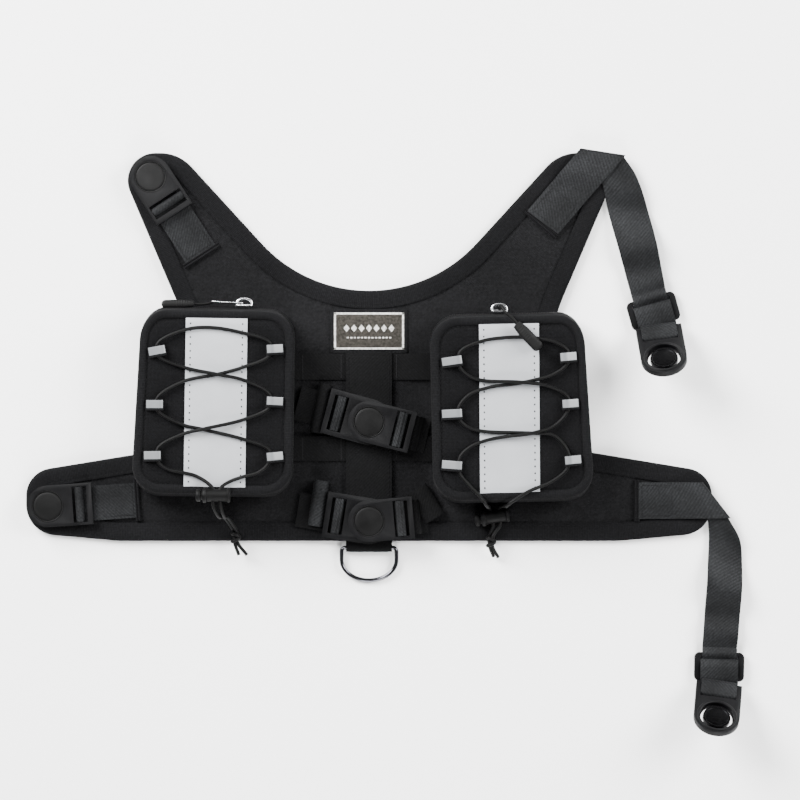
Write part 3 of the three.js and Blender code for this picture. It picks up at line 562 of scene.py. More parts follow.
def moulding(name, slot, colour, edge_highlight, roughness, grit=0.35, bump=0.03, **shader):
    """Injection-moulded plastic or rubber: a spark-eroded grain grit millimetres across, a little
    uneven gloss from handling, and a painted highlight, its sharp edges painted paler."""
    made, tree, bsdf = material(name, slot, roughness, **shader)
    place = add(tree, "ShaderNodeTexCoord").outputs["Object"]
    grain = add(tree, "ShaderNodeTexNoise", {
        "Vector": place, "Scale": 1 / (grit * MM), "Detail": 2.0,
    }).outputs["Fac"]
    cloud = add(tree, "ShaderNodeTexNoise", {"Vector": place, "Scale": 90.0, "Detail": 4.0}).outputs["Fac"]
    # Painted highlight: sharp edges, found by pointiness, are painted in the paler second colour.
    bend = add(tree, "ShaderNodeNewGeometry").outputs["Pointiness"]
    painted_edge_highlight = add(tree, "ShaderNodeMapRange", {"Value": bend, "From Min": 0.52, "From Max": 0.62,
                                           "To Min": 0.0, "To Max": 0.6}).outputs[0]
    tone = add(tree, "ShaderNodeMix", {0: painted_edge_highlight, 6: linear(colour), 7: linear(edge_highlight)}, data_type="RGBA")
    tree.links.new(tone.outputs[2], bsdf.inputs["Base Color"])
    gloss = add(tree, "ShaderNodeMapRange", {"Value": cloud, "From Min": 0.3, "From Max": 0.7,
                                             "To Min": roughness - 0.07,
                                             "To Max": roughness + 0.08}).outputs[0]
    tree.links.new(gloss, bsdf.inputs["Roughness"])
    relief = add(tree, "ShaderNodeBump", {"Height": grain, "Strength": 1.0, "Distance": bump * MM})
    tree.links.new(relief.outputs[0], bsdf.inputs["Normal"])
    return made


def metal(name, slot, colour, roughness):
    """Plated metal: a smooth tint with fine rubbed scratches in its gloss."""
    made, tree, bsdf = material(name, slot, roughness, Metallic=1.0)
    bsdf.inputs["Base Color"].default_value = linear(colour)
    place = add(tree, "ShaderNodeTexCoord").outputs["Object"]
    long = add(tree, "ShaderNodeMapping", {"Vector": place, "Scale": (200, 2600, 2600)}).outputs[0]
    marks = add(tree, "ShaderNodeTexNoise", {"Vector": long, "Scale": 1.0, "Detail": 2.0}).outputs["Fac"]
    gloss = add(tree, "ShaderNodeMapRange", {"Value": marks, "From Min": 0.35, "From Max": 0.7,
                                             "To Min": roughness * 0.5, "To Max": roughness * 1.5})
    tree.links.new(gloss.outputs[0], bsdf.inputs["Roughness"])
    return made


def reflective(name, slot, colour):
    """Reflective film: grey glass beads in a clear binder, which give a soft silver grain."""
    made, tree, bsdf = material(name, slot, 0.42, Specular_IOR_Level=0.6)
    place = add(tree, "ShaderNodeTexCoord").outputs["Object"]
    beads = add(tree, "ShaderNodeTexVoronoi", {"Vector": place, "Scale": 1500.0}).outputs["Distance"]
    cloud = add(tree, "ShaderNodeTexNoise", {"Vector": place, "Scale": 45.0, "Detail": 3.0}).outputs["Fac"]
    tone = add(tree, "ShaderNodeMapRange", {"Value": cloud, "From Min": 0.3, "From Max": 0.7,
                                            "To Min": 0.93, "To Max": 1.03}).outputs[0]
    base = add(tree, "ShaderNodeVectorMath", {0: linear(colour)[:3], "Scale": tone}, operation="SCALE")
    tree.links.new(base.outputs[0], bsdf.inputs["Base Color"])
    relief = add(tree, "ShaderNodeBump", {"Height": beads, "Strength": 0.6, "Distance": 0.03 * MM})
    soft = add(tree, "ShaderNodeBump", {"Height": cloud, "Strength": 0.4, "Distance": 0.8 * MM,
                                        "Normal": relief.outputs[0]})
    tree.links.new(soft.outputs[0], bsdf.inputs["Normal"])
    return made


def braid(name, slot, dark, light, pitch):
    """An elastic cord's braided sleeve: two sets of threads that cross, on the cord's own length."""
    made, tree, bsdf = material(name, slot, 0.5, Specular_IOR_Level=0.1)
    place = add(tree, "ShaderNodeTexCoord").outputs["UV"]
    waves = []
    for angle in (0.7, -0.7):
        spun = add(tree, "ShaderNodeMapping", {"Vector": place, "Rotation": (0, 0, angle)}).outputs[0]
        waves.append(add(tree, "ShaderNodeTexWave", {
            "Vector": spun, "Scale": WAVE / (pitch / 2 * MM), "Distortion": 0.0,
        }, bands_direction="X").outputs["Color"])
    crossed = add(tree, "ShaderNodeMath", {0: waves[0], 1: waves[1]}, operation="MAXIMUM").outputs[0]
    tone = add(tree, "ShaderNodeMix", {0: crossed, 6: linear(dark), 7: linear(light)}, data_type="RGBA")
    tree.links.new(tone.outputs[2], bsdf.inputs["Base Color"])
    relief = add(tree, "ShaderNodeBump", {"Height": crossed, "Strength": 0.6, "Distance": 0.15 * MM})
    tree.links.new(relief.outputs[0], bsdf.inputs["Normal"])
    return made


# Close even weave: the panel reads as flat black cloth with a fine grain.
PACK_CLOTH = cloth("pack cloth, woven polyester", "pack_fabric", "#080809", "#141415", 0.9)
# Coarser threads: the pouches look rougher and darker than the panel.
POUCH_CLOTH = cloth("pouch cloth, coarse polyester", "pack_fabric", "#030304", "#0b0b0c", 1.0)
# Ribs along the tape: a soft line follows every edge.
BINDING_TAPE = cloth("binding tape, ribbed", "binding_tape", "#050506", "#0d0d0e", 1.2, use_uv=True,
                     kind="ribbed", weave=0.14)
# Slanting twill with a low sheen and a strong mottle: the straps are the palest black, painted lighter than
# the spine's webbing as painted light where they catch the light.
LIT_WEBBING = cloth("strap webbing, woven nylon, painted light", "strap_webbing", "#0d0d0e", "#191a1b", 0.8, roughness=0.6,
                  use_uv=True, kind="chevron", mottle=1.3, weave=0.2)
# The same twill, flatter and painted darker: painted shade on the webbing that lies low on the panel between
# the pouches.
SHADED_WEBBING = cloth("spine webbing, woven nylon, painted shade", "strap_webbing", "#030303", "#080809", 0.8,
                      roughness=0.75, use_uv=True, kind="chevron", mottle=0.6, weave=0.1)
# Thin ribbed webbing: dull sides under the bright tab strips.
LOOP_WEB = cloth("loop webbing, thin", "loop_webbing", "#060607", "#121213", 0.9, use_uv=True, kind="ribbed")
# Fine knit: a dull band behind the coil's small highlights.
ZIP_TAPE = cloth("zip tape, knitted", "zip_tape", "#060607", "#111112", 0.8)
# Bonded thread: small smooth beads in rows.
THREAD = moulding("sewing thread, bonded nylon", "binding_tape", "#060607", "#0a0a0b", 0.7, grit=0.3,
                  Specular_IOR_Level=0.1)
# Spark-eroded acetal: a satin face, with a painted highlight that makes its edges paler.
PLASTIC = moulding("buckle plastic, moulded acetal", "moulded_plastic", "#030304", "#09090a", 0.5,
                   Specular_IOR_Level=0.13)
# Finer grain and a little more gloss: the pressed disc stands out from its frame.
PLASTIC_SMOOTH = moulding("buckle disc, smooth acetal", "moulded_plastic", "#040404", "#070708", 0.46,
                          bump=0.012, Specular_IOR_Level=0.14)
# Matt and near black: the locks show by their outline only.
PLASTIC_MATT = moulding("lock plastic, matt polypropylene", "moulded_plastic", "#020202", "#060607", 0.6,
                        Specular_IOR_Level=0.1)
# Deeper grain than the plastic: a soft dry surface.
RUBBER = moulding("pull grip, moulded rubber", "grip_rubber", "#020202", "#070708", 0.6, grit=0.5, bump=0.05,
                  Specular_IOR_Level=0.15)
# Dark plating with sharp reflections: a thin light line along a black ring.
RING_METAL = metal("ring, black nickel plated steel", "dark_chrome", "#4c4c50", 0.15)
# Bright cast metal: the lightest small parts beside the film.
ZIP_METAL = metal("slider, bright zinc alloy", "zip_metal", "#b9babc", 0.22)
# Blurred dark metal: a magnet's face that hardly shines.
MAGNET_METAL = metal("magnet plate, black coated", "magnet_plate", "#0c0c0d", 0.4)
# Glass beads in a binder: an even pale grey with a silver grain.
FILM = reflective("reflective film, glass beaded", "reflective_film", "#8e9093")
# The same film painted darker on the tabs: painted shade for the curve, where less light comes back.
SHADED_TAB_FILM = reflective("reflective film on the tabs, painted shade", "reflective_film", "#5a5c5e")
# Crossed threads: a fine check along the round cord.
ELASTIC = braid("elastic cord, braided sleeve", "elastic_cord", "#010101", "#050505", 2.2)
# Dense fine weave: a warm grey ground for the label.
LABEL_WEAVE = cloth("label, grey-brown damask weave", "label_weave", "#24221f", "#34322e", 0.5, weave=0.1)
# The same weave in white thread: the label's line and motif.
LABEL_WHITE = cloth("label border, white damask weave", "label_weave", "#a09f9b", "#c2c1bd", 0.5, weave=0.1)

# ---------------------------------------------------------------- camera, floor and light

PICTURE = np.array([22.3, 29.5])  # what the picture is centred on
CAMERA_HEIGHT = 4000.0
PICTURE_WIDTH = 576.0
SENSOR = 36.0


def camera_and_light():
    """A camera straight above, far off so that upright walls stay hidden, and soft studio light."""
    scene = bpy.context.scene
    camera = bpy.data.cameras.new("camera")
    camera.sensor_width = SENSOR
    camera.lens = SENSOR * (CAMERA_HEIGHT - PANEL_TOP) / PICTURE_WIDTH
    camera.clip_end = 20
    holder = bpy.data.objects.new("camera", camera)
    holder.location = (PICTURE[0] * MM, PICTURE[1] * MM, CAMERA_HEIGHT * MM)
    scene.collection.objects.link(holder)
    scene.camera = holder
    world = bpy.data.worlds.new("studio")
    world.use_nodes = True
    world.node_tree.nodes["Background"].inputs["Color"].default_value = (1, 1, 1, 1)
    world.node_tree.nodes["Background"].inputs["Strength"].default_value = 0.3
    scene.world = world
    lights = [
        ("key", (-1.4, 1.3, 1.2), 1.2, 250),
        ("fill", (1.7, 0.7, 1.1), 1.2, 130),
        ("front", (0.2, -2.0, 1.1), 1.2, 90),
        ("neck glow", (-0.19, 0.22, 0.65), 0.14, 2.4),
    ]
    for name, place, size, power in lights:
        lamp = bpy.data.lights.new(name, "AREA")
        lamp.size = size
        lamp.energy = power
        shown = bpy.data.objects.new(name, lamp)
        shown.location = place
        shown.rotation_euler = (-Vector(place)).to_track_quat("-Z", "Y").to_euler()
        scene.collection.objects.link(shown)


def floor():
    """A plain pale sheet well past the picture."""
    bpy.ops.mesh.primitive_plane_add(size=12, location=(0, 0, -0.0002))
    sheet = bpy.context.object
    sheet.name = "floor"
    made, _, bsdf = material("floor, white paper", "", 0.9)
    bsdf.inputs["Base Color"].default_value = linear("#fbfbfb")
    sheet.data.materials.append(made)


camera_and_light()
floor()

# ---------------------------------------------------------------- the main panel


def panel_corners():
    """The panel's corners [x, y, radius], anticlockwise from the right end of the hem."""
    low, high = box_mm("edge_binding")
    reach, hem, top = high[0], low[1], high[1]
    slope = math.radians(47.5)
    neck_radius = 105.0
    neck = 108.3 + neck_radius - neck_radius / math.cos(slope)
    inner = (top - neck) / math.tan(slope)
    waist = 134.0
    right = [
        (reach - 67, hem, 60), (reach, hem + 6, 22), (reach, hem + 49.5, 20),
        (waist - 6, hem + 69, 32), (waist, hem + 162, 80), (inner + 47, top, 20), (inner, top, 30),
    ]
    left = [(-x, y, r) for x, y, r in right[::-1]]
    return right + [(0, neck, neck_radius)] + left


EDGE, INWARD = outline(panel_corners(), 2.0)


def soft_noise(x, y, size, seed):
    """A smooth random field from -1 to 1: sines of several headings with features about size
    millimetres across."""
    dice = np.random.default_rng(seed)
    total = np.zeros_like(x)
    for _ in range(7):
        heading = dice.uniform(0, TAU)
        wave = TAU / (size * dice.uniform(1.2, 3.2))
        total += np.sin((x * math.cos(heading) + y * math.sin(heading)) * wave + dice.uniform(0, TAU))
    return total / 4.5


def inside(x, y, edge):
    """Whether each point is inside the closed edge, by counting the sides it sees to its right."""
    within = np.zeros(x.shape, bool)
    for (x0, y0), (x1, y1) in zip(edge, np.roll(edge, -1, 0)):
        if y0 == y1:
            continue
        crosses = ((y0 > y) != (y1 > y)) & (x < (x1 - x0) * (y - y0) / (y1 - y0) + x0)
        within ^= crosses
    return within


def distance_to(x, y, edge):
    """Each point's distance to the nearest sample of the edge."""
    flat = np.stack([x.ravel(), y.ravel()], -1)
    nearest = np.empty(len(flat))
    for start in range(0, len(flat), 4000):
        gaps = flat[start:start + 4000, None] - edge[None]
        nearest[start:start + 4000] = np.sqrt((gaps ** 2).sum(-1).min(1))
    return nearest.reshape(x.shape)


def panel_relief(x, y, gap):
    """The panel's upper side: puffed a little inside the binding's seam, with slow creases."""
    puff = 0.55 * (1 - np.exp(-np.maximum(gap - BINDING + 1, 0) / 7))
    return PANEL_TOP - 0.55 + puff + 0.14 * soft_noise(x, y, 26, 3) + 0.07 * soft_noise(x, y, 9, 5)


def vest_panel():
    """A square net of points trimmed under the binding, given its thickness downwards."""
    step = 2.6
    low, high = EDGE.min(0), EDGE.max(0)
    xs, ys = (np.arange(low[k], high[k], step) for k in (0, 1))
    x, y = np.meshgrid(xs, ys, indexing="ij")
    trim = (EDGE + INWARD * 3.6)[::2]
    kept = inside(x, y, trim)
    z = panel_relief(x, y, distance_to(x, y, EDGE[::2]))
    whole = kept[:-1, :-1] & kept[1:, :-1] & kept[1:, 1:] & kept[:-1, 1:]
    part = grid(np.stack([x, y, z], -1), uv=np.stack([x, y], -1))
    part["quads"] = part["quads"][whole.ravel()]
    part["uv"] = part["uv"].reshape(-1, 4, 2)[whole.ravel()].reshape(-1, 2)
    used = np.unique(part["quads"])
    renumber = np.zeros(len(part["points"]), int)
    renumber[used] = np.arange(len(used))
    part["points"], part["quads"] = part["points"][used], renumber[part["quads"]]
    piece = put("vest_panel", [part], PACK_CLOTH, "root", ["vest_shell"])
    if piece.data.polygons[0].normal.z < 0:
        piece.data.flip_normals()
    wall = piece.modifiers.new("padding", "SOLIDIFY")
    wall.thickness = 3.1 * MM
    wall.offset = -1
    return piece


def edge_binding():
    """Tape folded round the panel's edge: a thick C carried round the outline, a being inwards
    from the edge and b up."""
    turn = np.radians(np.linspace(270, 90, 9))
    outer = np.stack([2.4 + 2.4 * np.cos(turn), 2.7 + 2.6 * np.sin(turn)], -1)
    top = np.array([
        [5, 5.34], [8, 5.38], [10.2, 5.25], [11.2, 4.98], [12.1, 5.12], [12.9, 4.9], [13.0, 4.55],
    ])
    back = np.array([[12.4, 4.2], [3.2, 4.1], [2.4, 2.7], [3.2, 0.9], [12.4, 0.75]])
    base = np.array([[13.0, 0.5], [12.9, 0.12], [5, 0.1]])
    section = np.concatenate([outer, top, back, base])
    run = length_of(np.concatenate([EDGE, EDGE[:1]]))
    ripple = 0.10 * soft_noise(run[:-1], run[:-1] * 0.37, 16, 11)
    weight = np.clip(section[:, 1] / 5, 0, 1) ** 2
    flat = EDGE[:, None] + INWARD[:, None] * section[None, :, :1]
    height = section[None, :, 1:] + (ripple[:, None] * weight[None])[..., None]
    across = length_of(np.concatenate([section, section[:1]]))
    uv = np.stack(np.meshgrid(run, across, indexing="ij"), -1)
    tape = grid(np.concatenate([flat, height], -1), wrap=(True, True), uv=uv)
    put("edge_binding_tape", [tape], BINDING_TAPE, "root", ["edge_binding"])
    seam = np.concatenate([EDGE + INWARD * 11.2, np.full((len(EDGE), 1), 5.08)], 1)
    put("edge_binding_stitches", [stitches(np.concatenate([seam, seam[:1]]))], THREAD, "root")


vest_panel()
edge_binding()


def attachment_rows():
    """Two bands of webbing across the panel, held down by bar tacks and puffed between them."""
    tacks = np.array([-92, -48, -20, 20, 48, 92.0])
    for level in ("upper", "lower"):
        low, high = box_mm(f"attachment_webbing_{level}")
        x = np.arange(low[0], high[0], 1.5)
        nearest = np.abs(x[:, None] - tacks[None]).min(1)
        z = PANEL_TOP + 0.9 + 0.7 * (1 - np.exp(-((nearest / 7) ** 2)))
        middle, half = (low[1] + high[1]) / 2, (high[1] - low[1]) / 2
        centre = np.stack([x, np.full_like(x, middle), z], -1)
        side = np.repeat([[0, half, 0]], len(x), 0)
        normal = unit(np.cross(directions(centre), side))
        put(f"attachment_row_{level}", [webbing(centre, side, normal, 1.3)], SHADED_WEBBING, "root",
            [f"attachment_webbing_{level}"])
        lines = [
            stitches([(t, low[1] + 1, PANEL_TOP + 1.6), (t, high[1] - 1, PANEL_TOP + 1.6)], pitch=1.5,
                     size=(1.6, 1.0, 0.3))
            for t in tacks
        ]
        put(f"attachment_row_{level}_tacks", lines, THREAD, "root")


def spine():
    """The 33 mm webbing down the spine, over the hem, round the ring's bar and back under."""
    pivot, _ = joint_named("leash_ring_swing")
    top = box_mm("spine_webbing")[1][1]
    level = ROW_TOP + 0.9
    turn = np.radians(np.linspace(90, -185, 30))
    loop = np.stack([
        -pivot[1] + LOOP_RADIUS * np.cos(turn), pivot[2] + LOOP_RADIUS * np.sin(turn),
    ], -1)
    path = np.concatenate([[[-top, level]], loop])
    whole = band(path, SPINE_WEB)
    points = whole["points"]
    points[:, [0, 1]] = np.stack([points[:, 1], -points[:, 0]], -1)
    points[:, 2] += 0.12 * soft_noise(points[:, 0], points[:, 1], 22, 8) * (points[:, 1] > -70)
    put("spine_strap", [whole], SHADED_WEBBING, "root", ["spine_webbing"])
    rows = [
        stitches([(x, top - 2, level + 0.72), (x, -70, level + 0.72)], pitch=3.6) for x in (-14.4, 14.4)
    ]
    rows += [stitches([(-13, y, level + 0.72), (13, y, level + 0.72)], pitch=3.0) for y in (60.5, -66, -69)]
    put("spine_strap_stitches", rows, THREAD, "root")


def leash_ring():
    """A round wire bent to a D: the straight bar, then a bow through half an ellipse."""
    pivot, _ = joint_named("leash_ring_swing")
    half, side, far, wire = 19.75, 9.0, 23.7, 1.5
    turn = np.radians(np.linspace(180, 360, 40))
    bow = np.stack([half * np.cos(turn), -side + (far - side) * np.sin(turn)], -1)
    corner = np.radians(np.linspace(0, 90, 7))
    small = 2.6
    right = np.stack([half - small + small * np.sin(corner), -small + small * np.cos(corner)], -1)
    left = right[::-1] * [-1, 1]
    line = np.concatenate([right, bow[::-1], left])
    line = spaced(line, 1.0, closed=True)
    tilt = math.asin((pivot[2] - wire - 0.3) / far)
    place = Place(pivot, x=(1, 0, 0), z=(0, -math.sin(tilt), math.cos(tilt)))
    ring = tube(np.concatenate([line, np.zeros((len(line), 1))], 1), wire, sides=20, closed=True)
    put("leash_ring_wire", [place.part(ring)], RING_METAL, "leash_ring_body", ["leash_ring"], sharp=80)


def woven_label():
    """A woven patch: dark margin, white border line, grey-brown ground and a plain woven motif."""
    low, high = box_mm("woven_label")
    middle = (low + high) / 2
    place = Place((middle[0], middle[1], 0))
    half_w, half_h = (high - low)[:2] / 2
    base = slab(half_w + 1.1, half_h + 0.7, 1.0, PANEL_TOP - 0.2, 5.35)
    put("woven_label_patch", [place.part(base)], LOOP_WEB, "root", ["woven_label"])
    ground = slab(half_w - 1.9, half_h - 2.6, 0.4, 5.2, 5.5, edge=0.1)
    put("woven_label_ground", [place.part(ground)], LABEL_WEAVE, "root")
    lines = []
    for sx, sy, w, h in ((0, 1, 25.2, 0.7), (0, -1, 25.2, 0.7), (1, 0, 0.7, 13.3), (-1, 0, 0.7, 13.3)):
        bar = slab(w, h, 0.2, 5.2, 5.62, edge=0.1, side=4)
        bar["points"] += [sx * 24.5, sy * 12.6, 0]
        lines.append(place.part(bar))
    for n in range(7):
        diamond = slab(1.5, 1.5, 0.1, 5.3, 5.62, edge=0.08, side=3)
        p = diamond["points"]
        diamond["points"] = np.stack([
            (p[:, 0] - p[:, 1]) * 0.7 + (n - 3) * 5.4, (p[:, 0] + p[:, 1]) * 0.9 + 2.0, p[:, 2],
        ], -1)
        lines.append(place.part(diamond))
    for n in range(13):
        dash = slab(0.8, 0.5, 0.2, 5.3, 5.62, edge=0.08, side=3)
        dash["points"] += [(n - 6) * 2.55, -4.8, 0]
        lines.append(place.part(dash))
    put("woven_label_border", lines, LABEL_WHITE, "root")
    ring = rounded_box(half_w - 1.0, half_h - 1.0, 0.6, 12, 2)
    seam = np.concatenate([ring, np.full((len(ring), 1), 5.42)], 1)
    put("woven_label_stitches", [place.part(stitches(np.concatenate([seam, seam[:1]]), pitch=2.6,
                                                     size=(1.7, 0.35, 0.25)))], THREAD, "root")


attachment_rows()
spine()
leash_ring()
woven_label()

# ---------------------------------------------------------------- magnetic buckles


def cap_disc(name, node, place, body):
    """The cap's release disc: a low dome level with its frame, a narrow gap all round it."""
    top = FRAME_BASE + 3.8
    profile = [
        (0, FRAME_BASE - 1.1), (11.4, FRAME_BASE - 1.1), (11.7, FRAME_BASE - 0.7), (11.8, top - 0.9),
        (11.7, top - 0.45), (11.3, top - 0.3), (10.7, top - 0.35), (10.45, top - 0.5), (10.35, top - 1.1),
        (10.1, top - 1.1), (10.05, top + 0.06), (9.85, top + 0.14), (8.5, top + 0.2), (5, top + 0.28),
        (2, top + 0.31), (0, top + 0.32),
    ]
    put(name, [place.part(turned(profile))], PLASTIC_SMOOTH, body, [node])


def bar_roll(place, reach, drop, name, body, stands_for, web=LIT_WEBBING):
    """The strap's end: in under the frame's end, round its bar, and stitched back on itself."""
    if drop:
        lead = [[reach, LEG_CENTRE - drop], [reach - 5, LEG_CENTRE - drop], [BUCKLE_END + 3, LEG_CENTRE],
                [BUCKLE_END - 1, LEG_CENTRE]]
        lead = smooth(lead, 1.0)
    else:
        lead = np.array([[reach, LEG_CENTRE]])
    turn = np.radians(np.linspace(-90, -345, 26))
    roll = np.stack([BAR_AT + LOOP_RADIUS * np.cos(turn), BAR_HEIGHT + LOOP_RADIUS * np.sin(turn)], -1)
    return put(name, [place.part(band(np.concatenate([lead, roll]), WEB))], web, body, stands_for)


def roll_cover(place, name, body):
    """The strap's outer turn on a buckle's bar, with the ridges of its doubled edge."""
    turn = np.radians(np.linspace(-60, -345, 40))
    out = LOOP_RADIUS + 0.9 + 0.32 * np.cos(turn * 8)
    roll = np.stack([BAR_AT + out * np.cos(turn), BAR_HEIGHT + out * np.sin(turn)], -1)
    # Painted light: the turn on the bar is in the lighter copy of the webbing, over a darker lead.
    put(name, [place.part(band(roll, WEB + 0.2, 0.3, step=0.35))], LIT_WEBBING, body)


def flat_heading(degrees):
    turn = math.radians(degrees)
    return np.array([math.cos(turn), math.sin(turn), 0])


def folded_end(name, centre, turn, length, width, base, height, web):
    """A flattened roll of webbing lying on the panel: an oval section, length long."""
    angle = np.radians(np.linspace(-100, 250, 30))
    path = np.stack([width / 2 * np.cos(angle), base + height / 2 + height / 2 * np.sin(angle)], -1)
    place = Place((centre[0], centre[1], 0), x=flat_heading(turn))
    return put(name, [place.part(band(path, length, step=0.8))], web, "root")


def disc_middle(node):
    low, high = box_mm(node)
    return (low + high) / 2


def slit_tape(name, place):
    """The piped slit that a strap's end is sewn into: two round bars side by side, each thinner
    at its ends by a quarter of t to the eighth."""
    t = np.linspace(-1, 1, 13)
    line = np.stack([np.zeros(13), t * SLIT_WIDTH / 2, np.full(13, 1.3)], -1)
    fat = 1 - 0.25 * t ** 8
    bars = [
        place.part(tube(line + [shift, 0, 0], SLIT_THICK * 0.32, sides=10, taper=fat))
        for shift in (-SLIT_THICK * 0.28, SLIT_THICK * 0.28)
    ]
    return put(name, bars, BINDING_TAPE, "root")


def box_stitch(place, x0, x1, half, z):
    """Stitches round a box, and across it from corner to corner."""
    corners = np.array([(x0, -half, z), (x1, -half, z), (x1, half, z), (x0, half, z), (x0, -half, z)], float)
    lines = [stitches(corners[n:n + 2], pitch=3.0) for n in range(4)]
    return [place.part(part) for part in lines]


def left_end(side):
    """A cap half on its sewn patch, at the end of an arm or a wing on the left."""
    _, axis = joint_named(f"{side}_cap_lift")
    heading = np.array([axis[1], -axis[0], 0])
    middle = disc_middle(f"{side}_cap_disc")
    base = box_mm(f"{side}_cap_frame")[0][2] - FRAME_BASE
    place = Place((middle[0], middle[1], base), x=heading)
    body = f"{side}_cap"
    softened(f"{side}_cap_plate", f"{side}_cap_frame", PLASTIC, body)
    cap_disc(f"{side}_cap_button", f"{side}_cap_disc", place, body)
    bar_roll(place, BUCKLE_END + 0.3, 0, f"{side}_cap_roll", body, [f"{side}_cap_loop"])
    length = {"neck": 34.0, "belly": 31.0}[side]
    start = BUCKLE_END + 0.6
    ground = Place((middle[0], middle[1], 0), x=heading)
    x = np.linspace(start, start + length, 24)
    z = RIM_TOP + 0.75 - 0.35 * ((x - start) / length) ** 2
    centre = ground.of(np.stack([x, np.zeros_like(x), z], -1))
    side_way = np.repeat([ground.y * WEB / 2], len(x), 0)
    patch = webbing(centre, side_way, unit(np.cross(directions(centre), side_way)))
    put(f"{side}_patch", [patch], LIT_WEBBING, "root", [f"{side}_anchor_patch"])
    slit = Place(ground.of([start + length + 0.6, 0, PANEL_TOP - 0.1]), x=heading)
    slit_tape(f"{side}_patch_slit", slit)
    box = box_stitch(ground, start + 8, start + length - 2.5, WEB / 2 - 2, RIM_TOP + 1.35)
    put(f"{side}_patch_stitches", box, THREAD, "root")


for arm in ("neck", "belly"):
    left_end(arm)

CENTRE_HEADINGS = {"upper": (165, -14), "lower": (171, 5)}


def centre_buckle(level):
    """A closed buckle across the spine: the seat half below, the cap half on it."""
    seat_way, cap_way = (flat_heading(h) for h in CENTRE_HEADINGS[level])
    middle = disc_middle(f"{level}_cap_disc")
    for half, way in (("seat", seat_way), ("cap", cap_way)):
        base = box_mm(f"{level}_{half}_frame")[0][2] - FRAME_BASE
        place = Place((middle[0], middle[1], base), x=way)
        body = f"{level}_{half}"
        softened(f"{level}_{half}_plate", f"{level}_{half}_frame", PLASTIC, body)
        low, high = box_mm(f"{level}_{half}_strap")
        far = max(abs(low[0]), abs(high[0]))
        reach = far / abs(way[0]) - 1.0
        roll = bar_roll(place, reach, base - POUCH_BASE + 0.3, f"{level}_{half}_webbing", None,
                        [f"{level}_{half}_strap"], SHADED_WEBBING)
        roll_cover(place, f"{level}_{half}_roll", body)
        place.of([BUCKLE_END + 8, 0, 0]) * MM
        place.of([BUCKLE_END - 1, 0, 0]) * MM
        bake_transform(roll)
        if half == "cap":
            cap_disc(f"{level}_cap_button", f"{level}_cap_disc", place, body)


for row in ("upper", "lower"):
    centre_buckle(row)

folded_end("upper_left_fold", (-34.8, 23.5), -12, 36, 8, PANEL_TOP + 1.2, 5.5, SHADED_WEBBING)
folded_end("lower_left_fold", (-36.4, -44.8), -8, 33, 9.5, PANEL_TOP + 1.2, 6.5, LIT_WEBBING)
folded_end("lower_right_fold", (40.8, -45), 32, 25, 15, PANEL_TOP + 1.2, 4.0, SHADED_WEBBING)

# ---------------------------------------------------------------- adjustable straps on the right

# Edges of each strap's two runs, [x, y]: the sewn run ends at its fold, where the hanging run
# starts under it.
SEWN = {
    "neck": {"slit": [(113.8, 165.6), (136, 149)], "fold": [(151.2, 209.5), (183.6, 204.5)]},
    "belly": {"slit": [(194, -29.8), (194, -56.2)], "fold": [(238.8, -29.8), (258.7, -55.6)]},
}
HANGING = {
    "neck": ([(151.2, 209.2), (166.5, 189), (172, 166), (190, 101.5)],
             [(183.6, 204.3), (192.3, 190.8), (203, 159), (216.7, 104.4)]),
    "belly": ([(238.8, -30.2), (244.5, -62), (243.6, -93), (239.8, -150.5)],
              [(258.6, -55.4), (267, -71.5), (268.8, -93), (266.4, -150.5)]),
}


def sewn_run(side):
    """From its slit over the rim to the diagonal fold, each thread as long as the fold lets it."""
    slit, fold = (np.array(SEWN[side][k], float) for k in ("slit", "fold"))
    share = np.linspace(0, 1, 40)[:, None]
    height = RIM_TOP + 0.8 + 2.0 * (1 - np.exp(-((share * 60 - 26).clip(0) / 12) ** 2))
    edges = [np.concatenate([slit[k] * (1 - share) + fold[k] * share, height], 1) for k in (0, 1)]
    upper = strap(*edges)
    top = edges[0][-1], edges[1][-1]
    out = unit(fold.mean(0) - slit.mean(0))
    turn = np.radians(np.linspace(90, -90, 9))
    along = np.linspace(0, 1, 12)[:, None, None]
    ridge = top[0] * (1 - along[..., 0]) + top[1] * along[..., 0]
    ring = np.stack([np.cos(turn) * out[0] * 1.6, np.cos(turn) * out[1] * 1.6, (np.sin(turn) - 1) * 1.55], -1)
    inner = ring * [0.35, 0.35, 1] + np.stack([0 * turn, 0 * turn, -0.35 * np.sin(turn)], -1)
    section = np.concatenate([ring, inner[::-1]])
    fold_part = grid(ridge[:, None] + section[None] + [0, 0, 0.7], wrap=(False, True), capped=True)
    put(f"{side}_sewn_strap", [upper, fold_part], LIT_WEBBING, "root", [f"{side}_strap_sewn_run"])
    middle = slit.mean(0)
    place = Place((middle[0], middle[1], PANEL_TOP - 0.1), x=(*-unit(out), 0))
    slit_tape(f"{side}_strap_slit", Place(place.of([1.2, 0, 0]), x=place.x))
    ground = Place((middle[0], middle[1], 0), x=(*out, 0))
    put(f"{side}_strap_stitches", box_stitch(ground, 2.5, 24, WEB / 2 - 1.6, RIM_TOP + 1.6), THREAD, "root")


def seat_place(side):
    """Where the seat half lies: its disc's middle, x towards its strap, z out of its face."""
    hinge, axis = joint_named(f"{side}_seat_tilt")
    down = np.array([-axis[1], axis[0], 0])
    tilt = math.radians(SEAT_TILT)
    out = down * math.cos(tilt) + np.array([0, 0, math.sin(tilt)])
    face = -down * math.sin(tilt) + np.array([0, 0, math.cos(tilt)])
    origin = hinge + out * (BUCKLE_END + 3.0) - face * LEG_CENTRE
    return Place(origin, x=-out, z=face), hinge, down


